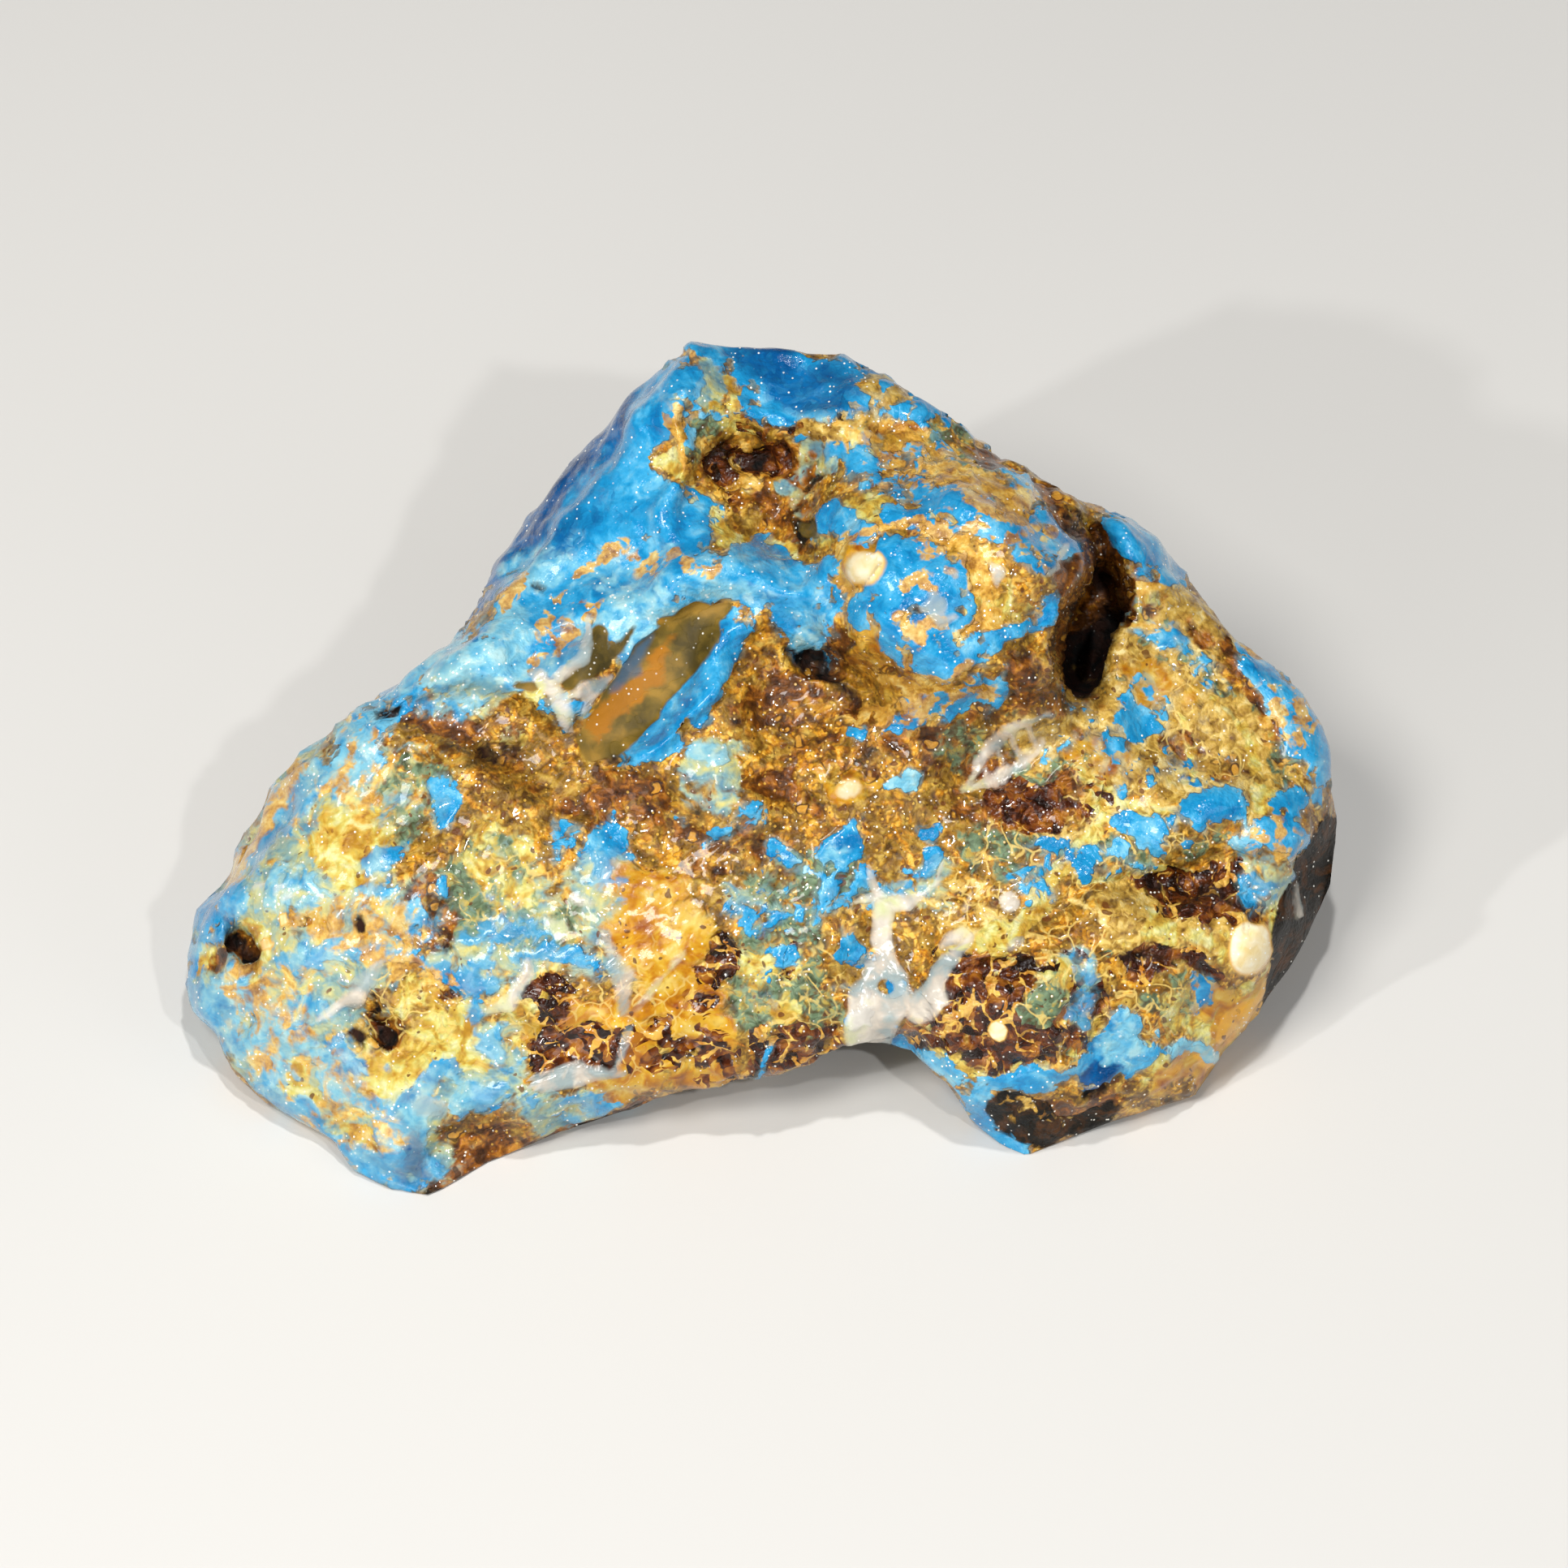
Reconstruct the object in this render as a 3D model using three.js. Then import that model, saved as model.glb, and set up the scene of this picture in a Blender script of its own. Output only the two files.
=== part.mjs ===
// Rough blue amber: one natural lump of weathered fossil resin, in one solid.
//
// A broad broken face leans back and looks up and forward. It carries a blunt crag at the top
// left with a bowl behind its crest, a rounded knob beside a deep cleft, a leaf-shaped scoop
// under a saddle ridge, and two lobes below with an arch between their feet. The back is split
// along a few rough planes and the lump lies on a flat underside.
//
// Millimetres, +Z up, -Y to the front. The origin is the middle of the footprint, on the bench.
import * as THREE from 'three';
import { mergeVertices } from 'three/addons/utils/BufferGeometryUtils.js';

// ---------------------------------------------------------------- driving dimensions

const FACE_RISE = 50;          // degrees: the broad face looks this far above the horizon
const MID_HEIGHT = 17.0;       // height of the middle of the broad face above the bench
const MID_SIDE = -0.098;       // middle of the broad face from the middle of the footprint, to the right
const MID_BACK = -2.185;       // and to the back
const HUB_RIGHT = 3.0;         // the face is worked out along rays from this point on it
const HUB_UP = 4.75;
const CUT_BELOW = 1.6;         // the underside is cut flat this far above the lump's natural belly
const FRONT_SQUARE = 14;       // how squarely the face meets the rim: higher is sharper
const BACK_SQUARE = 5;         // how squarely the back meets the rim
const BACK_FILLET = 2.0;       // rounding where two split planes of the back meet
const RIM_FADE = 4;            // how quickly the outline's corners fade out towards the middle
const RIM_LIP = 0.3;           // the face stays this far proud of the rim, the back this far behind
const MESH_CELLS = 26;         // cells along each edge of the even net laid over the lump
const MESH_LEAN = 0.25;        // how much denser that net is on the face than on the back
const WALK_STEPS = 160;        // steps used to even the net from the face's middle to the back's

// The outline of the broad face, clockwise from the crag's tip. Each corner is how far right and
// up the face it lies, and its depth towards the front.
const RIM = [
  [-4.6, 26.5, -5.0], [-2.0, 26.0, -5.5], [5.0, 25.8, -6.5], [6.5, 24.8, -6.0],          // crag and brow
  [10.5, 22.0, -5.0], [13.0, 20.0, -4.0], [18.0, 17.4, -3.0], [20.3, 16.5, -5.0],   // shoulder of the knob
  [22.8, 15.5, -7.0], [24.5, 14.2, -7.5], [25.6, 12.2, -7.5], [30.0, 7.8, -7.0],         // right slab
  [33.0, 5.2, -7.0], [34.8, 2.6, -7.0], [35.3, -0.8, -7.0], [35.8, -3.2, -7.5],
  [35.4, -7.4, -7.5], [34.0, -10.5, -7.0], [31.0, -14.8, -6.5], [28.0, -18.8, -6.0],     // dark right side
  [26.8, -20.4, -4.5], [21.5, -22.0, -3.5], [16.3, -24.0, -2.0], [14.8, -23.4, -2.4],    // right foot
  [12.8, -21.8, -3.0], [11.8, -20.0, -3.0], [9.4, -17.2, -1.5], [8.0, -16.6, 0.0],
  [5.0, -17.0, 0.5], [1.2, -18.8, 0.5], [-3.0, -19.4, 0.0], [-6.0, -20.1, -1.0],         // arch
  [-8.0, -21.3, -2.4], [-13.0, -22.8, -2.5], [-17.0, -24.4, -1.6], [-20.5, -26.4, 0.1],  // left foot
  [-23.0, -26.0, -0.2], [-25.4, -24.8, -0.8], [-26.3, -23.2, -2.0], [-31.0, -20.8, -4.2],
  [-33.3, -18.6, -5.5], [-33.8, -16.6, -6.0], [-35.3, -15.0, -6.5], [-35.6, -12.2, -7.0],  // left lobe
  [-35.2, -8.8, -7.5], [-33.3, -6.8, -7.5], [-32.4, -4.0, -7.5], [-30.4, -1.2, -7.0],
  [-25.5, 3.2, -6.0], [-19.3, 7.4, -5.0], [-18.0, 9.7, -7.0], [-16.8, 12.8, -9.0],       // left shoulder
  [-11.0, 19.8, -8.5], [-6.0, 25.0, -6.0],                                               // crag's left edge
];

// Broad flats on the face: middle right and up, half-width, half-height, turn in degrees, depth at
// the middle, slope to the right and slope up.
const FLATS = [
  [-9.6, 15.4, 9.5, 5.2, 56, -1.2, 0.42, -0.10],   // bright slope left of the crest
  [1.5, 24.2, 6.0, 2.2, -6, -3.2, 0.05, -0.85],    // smooth brow behind the bowl
  [10.5, 19.0, 6.5, 3.0, -38, 0.8, -0.10, -0.70],  // shoulder above the knob
  [27.4, 5.6, 9.5, 7.5, -48, -1.6, -0.20, -0.16],  // right slab
  [23.0, -4.0, 9.5, 4.0, -8, 2.2, -0.10, 0.10],    // right middle
  [2.2, 5.2, 4.6, 3.6, -30, 2.0, 0.05, 0.12],      // hollow under the saddle
  [-16.2, 2.2, 5.6, 2.4, -14, 1.2, 0.06, -0.10],   // terrace
  [-25.0, -2.0, 6.0, 4.5, 50, 1.6, 0.12, -0.10],   // shoulder of the left lobe
  [-4.0, -13.0, 11.0, 5.5, 6, 4.2, -0.02, 0.16],   // belly between the lobes
  [8.6, -12.0, 3.6, 5.0, -8, 3.0, 0.10, 0.12],     // flank above the arch
];

// Steep side planes that trim whatever stands above them: the same eight numbers.
const SIDES = [
  [34.8, -9.0, 4.8, 12.0, -14, -5.6, -2.3, 0.5],   // right side
  [29.0, -19.0, 5.0, 5.0, 0, -1.6, -0.9, 1.0],     // corner of the right foot
  [17.5, -22.3, 7.0, 2.0, 8, -0.6, 0.1, 1.7],      // front of the right foot
  [-12.5, -22.0, 9.0, 2.4, 14, 0.0, -0.2, 1.6],    // front of the left lobe
  [-33.0, -4.5, 7.0, 2.2, 52, -2.6, 1.2, -0.8],    // left shoulder
  [-12.5, 18.2, 11.0, 2.0, 52, -5.6, 1.2, -0.8],   // strip left of the bright slope
];

// Swellings: middle right and up, half-width, half-height, turn, steepness of the flank, height.
const LUMPS = [
  [12.0, 11.2, 8.3, 7.2, -24, 2.6, 6.4],     // knob
  [8.6, 9.0, 3.6, 3.0, 20, 1.5, 1.3],        // its smaller swellings
  [9.5, 12.5, 2.2, 1.6, 0, 1.4, 0.7],
  [15.5, 13.0, 3.6, 2.6, 10, 1.5, 1.1],
  [13.0, 5.5, 4.0, 2.0, -10, 1.5, 0.8],
  [19.0, -13.0, 10.5, 5.6, 12, 1.7, 2.4],    // lower right lobe
  [15.0, -14.0, 4.4, 3.4, 0, 1.6, 0.9],
  [-24.0, -10.0, 9.0, 8.5, 0, 1.3, 1.7],     // left lobe
  [-24.0, -21.0, 5.0, 3.0, -30, 1.3, 1.3],
  [-3.2, -1.8, 3.4, 2.6, 0, 1.6, 1.3],       // bump in the middle
  [24.8, -3.6, 2.4, 1.3, 15, 1.4, 0.9],      // three beads on the right
  [28.0, -2.2, 1.8, 1.4, 30, 1.4, 0.8],
  [31.2, -4.4, 2.4, 1.6, 20, 1.4, 0.8],
  [29.8, -11.0, 1.6, 1.9, 0, 1.6, 1.4],      // pearl
  [6.2, 12.0, 1.3, 1.3, 0, 1.6, 0.8],        // honey bead
  [5.3, -1.5, 1.2, 0.8, 0, 1.5, 0.6],
  [-15.5, 8.4, 5.0, 1.6, 22, 1.4, 1.5],      // ridge over the terrace
  [-8.5, 10.6, 5.0, 1.4, 22, 1.4, 1.3],
  [-1.0, 11.6, 6.0, 1.3, -4, 1.4, 1.5],      // saddle ridge
  [-4.0, 4.4, 6.2, 0.95, 50, 1.6, 1.2],      // lip right of the scoop
  [-11.0, 5.8, 3.0, 0.9, 60, 1.4, 0.6],      // shard left of the scoop
  [-5.2, 20.0, 6.0, 0.8, 86, 1.5, 1.2],      // crest of the crag
  [25.0, 13.0, 3.4, 1.6, -50, 1.4, 1.0],     // crown of the slab
  [31.8, 4.4, 5.0, 1.4, -52, 1.4, 1.0],      // rim of the slab
  [8.6, 23.2, 2.6, 1.4, -20, 1.5, 0.8],      // knuckle on the skyline
  [18.9, 10.4, 0.8, 4.6, -16, 1.5, 1.0],     // ridge along the cleft
];

// Hollows: the same seven numbers, the last one a depth.
const HOLLOWS = [
  [-0.2, 17.6, 4.6, 4.6, 10, 1.7, 4.2],      // bowl
  [-0.7, 18.7, 2.3, 2.0, -30, 1.2, 1.8],
  [1.6, 14.8, 2.4, 1.4, 10, 1.4, 1.2],
  [20.7, 10.8, 1.15, 5.8, -4, 1.4, 6.0],     // cleft
  [20.1, 7.6, 1.45, 3.3, -16, 1.5, 8.0],     // hole at its foot
  [-6.6, 5.5, 6.2, 2.6, 50, 1.8, 1.7],       // scoop
  [3.9, 6.2, 2.6, 0.7, -36, 1.6, 1.5],       // crack under the saddle
  [-32.5, -11.0, 1.7, 0.75, -45, 1.6, 3.2],  // cave in the left lobe
  [-22.4, 3.7, 1.8, 0.8, 0, 1.6, 1.0],
  [-10.0, -2.4, 5.0, 3.0, -22, 1.4, 1.7],    // pocket left of the bump
  [1.6, -1.4, 1.8, 1.6, 0, 1.5, 0.8],
  [15.0, 0.2, 4.6, 1.6, 22, 1.6, 1.8],       // pocket below the knob
  [22.0, -7.6, 9.0, 0.9, 12, 1.5, 1.1],      // furrow across the right
  [15.2, -12.2, 5.0, 0.7, 20, 1.5, 0.7],
  [-18.8, -9.2, 1.5, 1.2, 0, 1.5, 1.2],      // pits in the left lobe
  [-13.5, -16.5, 3.0, 1.4, -10, 1.6, 0.9],
  [-23.5, -15.5, 1.4, 1.0, 0, 1.6, 1.2],
];

// Split planes of the back: outward direction to the right, back and up, and distance from the
// middle of the face.
const BACK_PLANES = [
  [-0.1, 1.0, 0.12, 25.5],    // back of the crag
  [0.1, 1.0, -0.4, 21.5],     // undercut below it
  [0.8, 0.65, 0.2, 30.5],     // behind the slab
  [-0.75, 0.7, 0.3, 25.5],    // behind the left shoulder
  [0.7, 0.6, -0.5, 28.5],     // undercut below the slab
  [-0.7, 0.6, -0.5, 28.0],    // undercut below the left shoulder
  [1.0, 0.05, -0.3, 36.0],    // right end
  [-1.0, 0.1, -0.3, 37.0],    // left end
];

// Swellings and dents of the back, as seen through the lump from the front: middle right and up,
// half-width, half-height, turn, steepness of the flank, and how far it stands out behind.
const BACK_RELIEF = [
  [2.0, 14.0, 8.0, 5.0, 15, 1.4, 1.8],
  [-9.0, 6.0, 5.0, 7.0, -20, 1.5, -1.6],
  [12.0, 7.0, 5.0, 6.0, 30, 1.5, 1.5],
  [20.0, 2.0, 6.0, 4.0, -30, 1.5, -1.4],
  [-16.0, -2.0, 6.0, 4.0, 40, 1.4, 1.6],
  [26.0, -4.0, 4.0, 6.0, -10, 1.5, 1.4],
  [-25.0, -8.0, 5.0, 4.0, 30, 1.5, -1.3],
  [6.0, 21.0, 4.0, 2.4, -10, 1.5, -1.6],
  [-4.0, 20.5, 3.0, 3.4, 10, 1.5, 1.4],
];

// ---------------------------------------------------------------- shape

const rise = THREE.MathUtils.degToRad(FACE_RISE);
const SIN = Math.sin(rise);
const COS = Math.cos(rise);

// Strength of a flat, side, lump or hollow at a point: 1 in the middle, falling to 0 outside.
function spot(right, up, midRight, midUp, halfWidth, halfHeight, turn, steepness) {
  const angle = THREE.MathUtils.degToRad(turn);
  const dx = right - midRight;
  const dy = up - midUp;
  const x = (dx * Math.cos(angle) + dy * Math.sin(angle)) / halfWidth;
  const y = (dy * Math.cos(angle) - dx * Math.sin(angle)) / halfHeight;
  return Math.exp(-Math.pow(x * x + y * y, steepness));
}

// The lower of two depths, with a fillet of about this radius where they meet.
function trimmed(depth, plane, fillet) {
  const blend = THREE.MathUtils.clamp(0.5 + (0.5 * (plane - depth)) / fillet, 0, 1);
  return plane + (depth - plane) * blend - fillet * blend * (1 - blend);
}

// Depth of the gentle dome under the face, before any feature is worked into it.
function domeDepth(right, up) {
  return 4.4 - 3.4 * (right / 36) ** 2 - (up > 0 ? 6 : 3) * (up / 27) ** 2;
}

// Depth of the broad face towards the front, before it turns over at the rim.
function faceDepth(faceRight, faceUp) {
  // No edge of a broken lump runs true, so every point is taken from a little to one side.
  const right = faceRight + 0.45 * Math.sin(0.85 * faceUp + 1.3)
    + 0.2 * Math.sin(1.3 * faceUp - 0.7 * faceRight + 2.0);
  const up = faceUp + 0.45 * Math.sin(0.8 * faceRight + 0.4)
    + 0.2 * Math.sin(1.2 * faceRight + 0.9 * faceUp + 1.0);
  let depth = domeDepth(right, up);
  for (const [midRight, midUp, width, height, turn, middle, slopeRight, slopeUp] of FLATS) {
    const plane = middle + slopeRight * (right - midRight) + slopeUp * (up - midUp);
    depth += (plane - depth) * spot(right, up, midRight, midUp, width, height, turn, 2.2);
  }
  for (const [midRight, midUp, width, height, turn, steepness, rises] of LUMPS) {
    depth += rises * spot(right, up, midRight, midUp, width, height, turn, steepness);
  }
  for (const [midRight, midUp, width, height, turn, middle, slopeRight, slopeUp] of SIDES) {
    const plane = middle + slopeRight * (right - midRight) + slopeUp * (up - midUp);
    const strength = Math.min(1, 1.4 * spot(right, up, midRight, midUp, width, height, turn, 3));
    depth += strength * (trimmed(depth, plane, 0.8) - depth);
  }
  for (const [midRight, midUp, width, height, turn, steepness, sinks] of HOLLOWS) {
    depth -= sinks * spot(right, up, midRight, midUp, width, height, turn, steepness);
  }
  return depth;
}

// Depth of the bench, or of a plane that far below it, behind a point at this height up the face.
function benchDepth(up, below = 0) {
  return -(MID_HEIGHT + below + up * COS) / SIN;
}

// Depth of the back: the belly under the bench, or the nearest split plane if that is in front.
function backDepth(right, up) {
  let depth = benchDepth(up, CUT_BELOW);
  for (const [sideways, back, above, distance] of BACK_PLANES) {
    const normal = new THREE.Vector3(sideways, back, above).normalize();
    const alongUp = normal.y * SIN + normal.z * COS;
    const alongDepth = -normal.y * COS + normal.z * SIN;
    if (alongDepth < -0.02) {
      const plane = (distance - normal.x * right - alongUp * up) / alongDepth;
      depth = -trimmed(-depth, -plane, BACK_FILLET);
    }
  }
  for (const [midRight, midUp, width, height, turn, steepness, swells] of BACK_RELIEF) {
    depth -= swells * spot(right, up, midRight, midUp, width, height, turn, steepness);
  }
  return depth;
}

// Where a ray from the hub meets the outline: its length, and the outline's depth there.
function rimAt(angle) {
  const x = Math.cos(angle);
  const y = Math.sin(angle);
  for (let i = 0; i < RIM.length; i += 1) {
    const [endRight, endUp, endDepth] = RIM[i];
    const [startRight, startUp, startDepth] = RIM[(i + 1) % RIM.length];
    const startX = startRight - HUB_RIGHT;
    const startY = startUp - HUB_UP;
    const endX = endRight - HUB_RIGHT;
    const endY = endUp - HUB_UP;
    const edgeX = endX - startX;
    const edgeY = endY - startY;
    const afterStart = startX * y - startY * x;
    const beforeEnd = x * endY - y * endX;
    const ahead = x * (startX + endX) + y * (startY + endY);
    if (afterStart >= 0 && beforeEnd > 0 && ahead > 0) {
      const length = (startX * edgeY - startY * edgeX) / (x * edgeY - y * edgeX);
      const alongEdge = (length * x - startX) * edgeX + (length * y - startY) * edgeY;
      const share = alongEdge / (edgeX ** 2 + edgeY ** 2);
      const bench = benchDepth(HUB_UP + length * y);
      return { length, depth: Math.max(startDepth + share * (endDepth - startDepth), bench + 0.1) };
    }
  }
  return { length: 0, depth: 0 };
}

// The same, with the broad sweep of the outline beside it: the average over a fan of rays.
function rimWithSweep(angle) {
  const rim = rimAt(angle);
  const sweep = { length: 0, depth: 0 };
  for (const [turn, weight] of [[-16, 1], [-8, 2], [0, 3], [8, 2], [16, 1]]) {
    const near = rimAt(angle + THREE.MathUtils.degToRad(turn));
    sweep.length += (near.length * weight) / 9;
    sweep.depth += (near.depth * weight) / 9;
  }
  return { rim, sweep };
}

// A point of the skin on one ray: share runs from 0 at the face's middle, through 0.5 at the rim,
// to 1 at the back's middle. The face's depth comes from depthOf.
function skin(angle, { rim, sweep }, share, depthOf) {
  const out = Math.sin(share * Math.PI);
  const corner = out ** RIM_FADE;
  const length = sweep.length + (rim.length - sweep.length) * corner;
  const edge = sweep.depth + (rim.depth - sweep.depth) * corner;
  const right = HUB_RIGHT + length * out * Math.cos(angle);
  const up = HUB_UP + length * out * Math.sin(angle);
  if (share < 0.5) {
    const face = Math.max(depthOf(right, up), edge + RIM_LIP);
    const roundOver = Math.sqrt(1 - out ** FRONT_SQUARE);
    return new THREE.Vector3(right, up, edge + (face - edge) * roundOver);
  }
  const back = Math.min(backDepth(right, up), edge - RIM_LIP);
  const roundUnder = Math.sqrt(1 - out ** BACK_SQUARE);
  return new THREE.Vector3(right, up, Math.max(edge + (back - edge) * roundUnder, benchDepth(up)));
}

// The same ray walked evenly: share now counts the length covered along the plain dome and back,
// so that neighbouring rays stay in step whatever features they cross.
function evenSkin(angle, share) {
  const rim = rimWithSweep(angle);
  const walked = [0];
  let last = skin(angle, rim, 0, domeDepth);
  for (let i = 1; i <= WALK_STEPS; i += 1) {
    const next = skin(angle, rim, i / WALK_STEPS, domeDepth);
    walked.push(walked[i - 1] + next.distanceTo(last));
    last = next;
  }
  const target = share * walked[WALK_STEPS];
  let i = 1;
  while (i < WALK_STEPS && walked[i] < target) {
    i += 1;
  }
  const into = (target - walked[i - 1]) / (walked[i] - walked[i - 1]);
  return skin(angle, rim, (i - 1 + into) / WALK_STEPS, faceDepth);
}

// ---------------------------------------------------------------- solid

// An even net of cells on a box, joined at its edges, gives one closed skin with no poles.
const net = new THREE.BoxGeometry(2, 2, 2, MESH_CELLS, MESH_CELLS, MESH_CELLS);
net.deleteAttribute('normal');
net.deleteAttribute('uv');
const lumpShape = mergeVertices(net, 1e-4);
const place = lumpShape.getAttribute('position');

for (let i = 0; i < place.count; i += 1) {
  const direction = new THREE.Vector3(
    Math.tan((place.getX(i) * Math.PI) / 4),
    Math.tan((place.getY(i) * Math.PI) / 4),
    Math.tan((place.getZ(i) * Math.PI) / 4),
  );
  direction.normalize();
  direction.z += MESH_LEAN;
  direction.normalize();
  const share = Math.acos(THREE.MathUtils.clamp(direction.z, -1, 1)) / Math.PI;
  const point = evenSkin(Math.atan2(direction.y, direction.x), share);
  const height = MID_HEIGHT + point.y * COS + point.z * SIN;
  place.setXYZ(
    i,
    MID_SIDE + point.x,
    MID_BACK + point.y * SIN - point.z * COS,
    height < 1e-6 ? 0 : height,
  );
}
lumpShape.computeVertexNormals();

const amber = new THREE.MeshStandardMaterial({ color: 0x6f8a86, roughness: 0.28, metalness: 0 });
const lump = new THREE.Mesh(lumpShape, amber);
lump.name = 'amber_lump';

const part = new THREE.Group();
part.name = 'rough_blue_amber';
part.add(lump);

export default part;
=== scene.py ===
# %% [markdown]
# # Rough blue amber
# The object is one natural lump of weathered fossil resin, about 71 mm long. A broad broken face
# leans back and carries everything worth looking at: azure skin, ochre crust, honey windows,
# veils, beads, pits and a deep cleft. We build it in three stages: a closed skin worked out with
# numpy, a set of fields that say which finish lies where, and one material that reads them.
# The CAD part is loaded first, because the lump has to fill the same room on the bench.

import bpy
import numpy as np
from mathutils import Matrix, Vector


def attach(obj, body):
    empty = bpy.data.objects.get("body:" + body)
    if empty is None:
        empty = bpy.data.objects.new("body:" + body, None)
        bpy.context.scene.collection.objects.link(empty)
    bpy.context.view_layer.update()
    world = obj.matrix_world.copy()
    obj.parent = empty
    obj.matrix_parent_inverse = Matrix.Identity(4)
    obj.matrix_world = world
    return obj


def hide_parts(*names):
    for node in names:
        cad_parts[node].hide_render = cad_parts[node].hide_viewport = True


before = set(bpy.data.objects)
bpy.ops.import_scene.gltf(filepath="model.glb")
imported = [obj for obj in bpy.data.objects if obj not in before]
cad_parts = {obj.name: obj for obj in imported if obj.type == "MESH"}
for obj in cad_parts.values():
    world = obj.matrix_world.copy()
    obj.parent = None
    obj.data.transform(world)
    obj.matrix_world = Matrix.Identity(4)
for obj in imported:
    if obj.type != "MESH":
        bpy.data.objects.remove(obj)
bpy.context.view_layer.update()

# %% [markdown]
# ## The face's own directions
# A lump has no square sides, so it is easiest to describe the broad face as you would draw it:
# how far to the right, how far up the slope, and how far out towards you, which we call depth. The
# face looks up at 50 degrees, so these three directions are one turn away from the bench's X, Y and
# Z. All lengths are in millimetres until the mesh is made.

# %% Directions of the broad face
FACE_RISE = np.radians(50.0)
SIN, COS = np.sin(FACE_RISE), np.cos(FACE_RISE)
# where the face's middle sits on the bench
MID_HEIGHT = 17.0
MID_SIDE, MID_BACK = -0.098, -2.185
# the point on the face that every ray starts from
HUB = (3.0, 4.75)
MM = 0.001


def to_bench(right, up, depth):
    """Face coordinates to bench coordinates: a turn about the left-right axis, then a shift."""
    across = MID_SIDE + right
    back = MID_BACK + up * SIN - depth * COS
    height = MID_HEIGHT + up * COS + depth * SIN
    return np.stack([across, back, height], -1)


print("the face's middle sits at", to_bench(0.0, 0.0, 0.0), "mm")

# %% [markdown]
# ## The outline
# Broken resin has straight-ish breaks that meet at blunt corners, so its outline is a polygon.
# Each corner is listed, with its depth, clockwise from the crag's tip. A ray from the hub
# meets the polygon once, which is what lets one angle stand for a whole strip of skin.

# %% Outline of the broad face
# right, up and depth of each corner; the last line turns the order round, so that angles grow
OUTLINE = np.array([
    (-4.6, 26.5, -5.0), (-2.0, 26.0, -5.5), (5.0, 25.8, -6.5), (6.5, 24.8, -6.0), (10.5, 22.0, -5.0),
    (13.0, 20.0, -4.0), (18.0, 17.4, -3.0), (20.3, 16.5, -5.0), (22.8, 15.5, -7.0), (24.5, 14.2, -7.5),
    (25.6, 12.2, -7.5), (30.0, 7.8, -7.0), (33.0, 5.2, -7.0), (34.8, 2.6, -7.0), (35.3, -0.8, -7.0),
    (35.8, -3.2, -7.5), (35.4, -7.4, -7.5), (34.0, -10.5, -7.0), (31.0, -14.8, -6.5), (28.0, -18.8, -6.0),
    (26.8, -20.4, -4.5), (21.5, -22.0, -3.5), (16.3, -24.0, -2.0), (14.8, -23.4, -2.4), (12.8, -21.8, -3.0),
    (11.8, -20.0, -3.0), (9.4, -17.2, -1.5), (8.0, -16.6, 0.0), (5.0, -17.0, 0.5), (1.2, -18.8, 0.5),
    (-3.0, -19.4, 0.0), (-6.0, -20.1, -1.0), (-8.0, -21.3, -2.4), (-13.0, -22.8, -2.5),
    (-17.0, -24.4, -1.6), (-20.5, -26.4, 0.1), (-23.0, -26.0, -0.2), (-25.4, -24.8, -0.8),
    (-26.3, -23.2, -2.0), (-31.0, -20.8, -4.2), (-33.3, -18.6, -5.5), (-33.8, -16.6, -6.0),
    (-35.3, -15.0, -6.5), (-35.6, -12.2, -7.0), (-35.2, -8.8, -7.5), (-33.3, -6.8, -7.5),
    (-32.4, -4.0, -7.5), (-30.4, -1.2, -7.0), (-25.5, 3.2, -6.0), (-19.3, 7.4, -5.0), (-18.0, 9.7, -7.0),
    (-16.8, 12.8, -9.0), (-11.0, 19.8, -8.5), (-6.0, 25.0, -6.0),
])[::-1]
# the rim never comes closer to the bench than this
RIM_ABOVE_BENCH = 0.1


def bench_depth(up, below=0.0):
    """Depth at which a point this far up the face would touch the bench, or go below it."""
    return -(MID_HEIGHT + below + up * COS) / SIN


def rim_at(angle):
    """Length of the ray from the hub to the outline, and the outline's depth where they meet.

    A ray d from the origin meets the edge from A along e at the length (A x e) / (d x e).
    """
    corner = OUTLINE[:, :2] - HUB
    bearing = np.unwrap(np.arctan2(corner[:, 1], corner[:, 0]))
    turned = (angle - bearing[0]) % (2 * np.pi) + bearing[0]
    first = np.clip(np.searchsorted(bearing, turned, side="right") - 1, 0, len(corner) - 1)
    second = (first + 1) % len(corner)
    start, edge = corner[first], corner[second] - corner[first]
    ray = np.stack([np.cos(angle), np.sin(angle)], -1)
    length = (start[..., 0] * edge[..., 1] - start[..., 1] * edge[..., 0]) / (
        ray[..., 0] * edge[..., 1] - ray[..., 1] * edge[..., 0])
    share = ((length[..., None] * ray - start) * edge).sum(-1) / (edge * edge).sum(-1)
    depth = OUTLINE[first, 2] + share * (OUTLINE[second, 2] - OUTLINE[first, 2])
    floor = bench_depth(HUB[1] + length * np.sin(angle)) + RIM_ABOVE_BENCH
    return length, np.maximum(depth, floor)


rays = rim_at(np.linspace(-np.pi, np.pi, 360))[0]
print("outline: shortest and longest ray", rays.min().round(1), rays.max().round(1))

# %% [markdown]
# ## Flats, swellings and hollows
# You could sculpt the face by hand, but then nobody could change the knob's height later. Here
# each feature is one row of numbers: where it is, how wide and high, how it is turned, and what
# it does to the depth. A soft-edged ellipse, called a spot, says how strongly the row acts.

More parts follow.
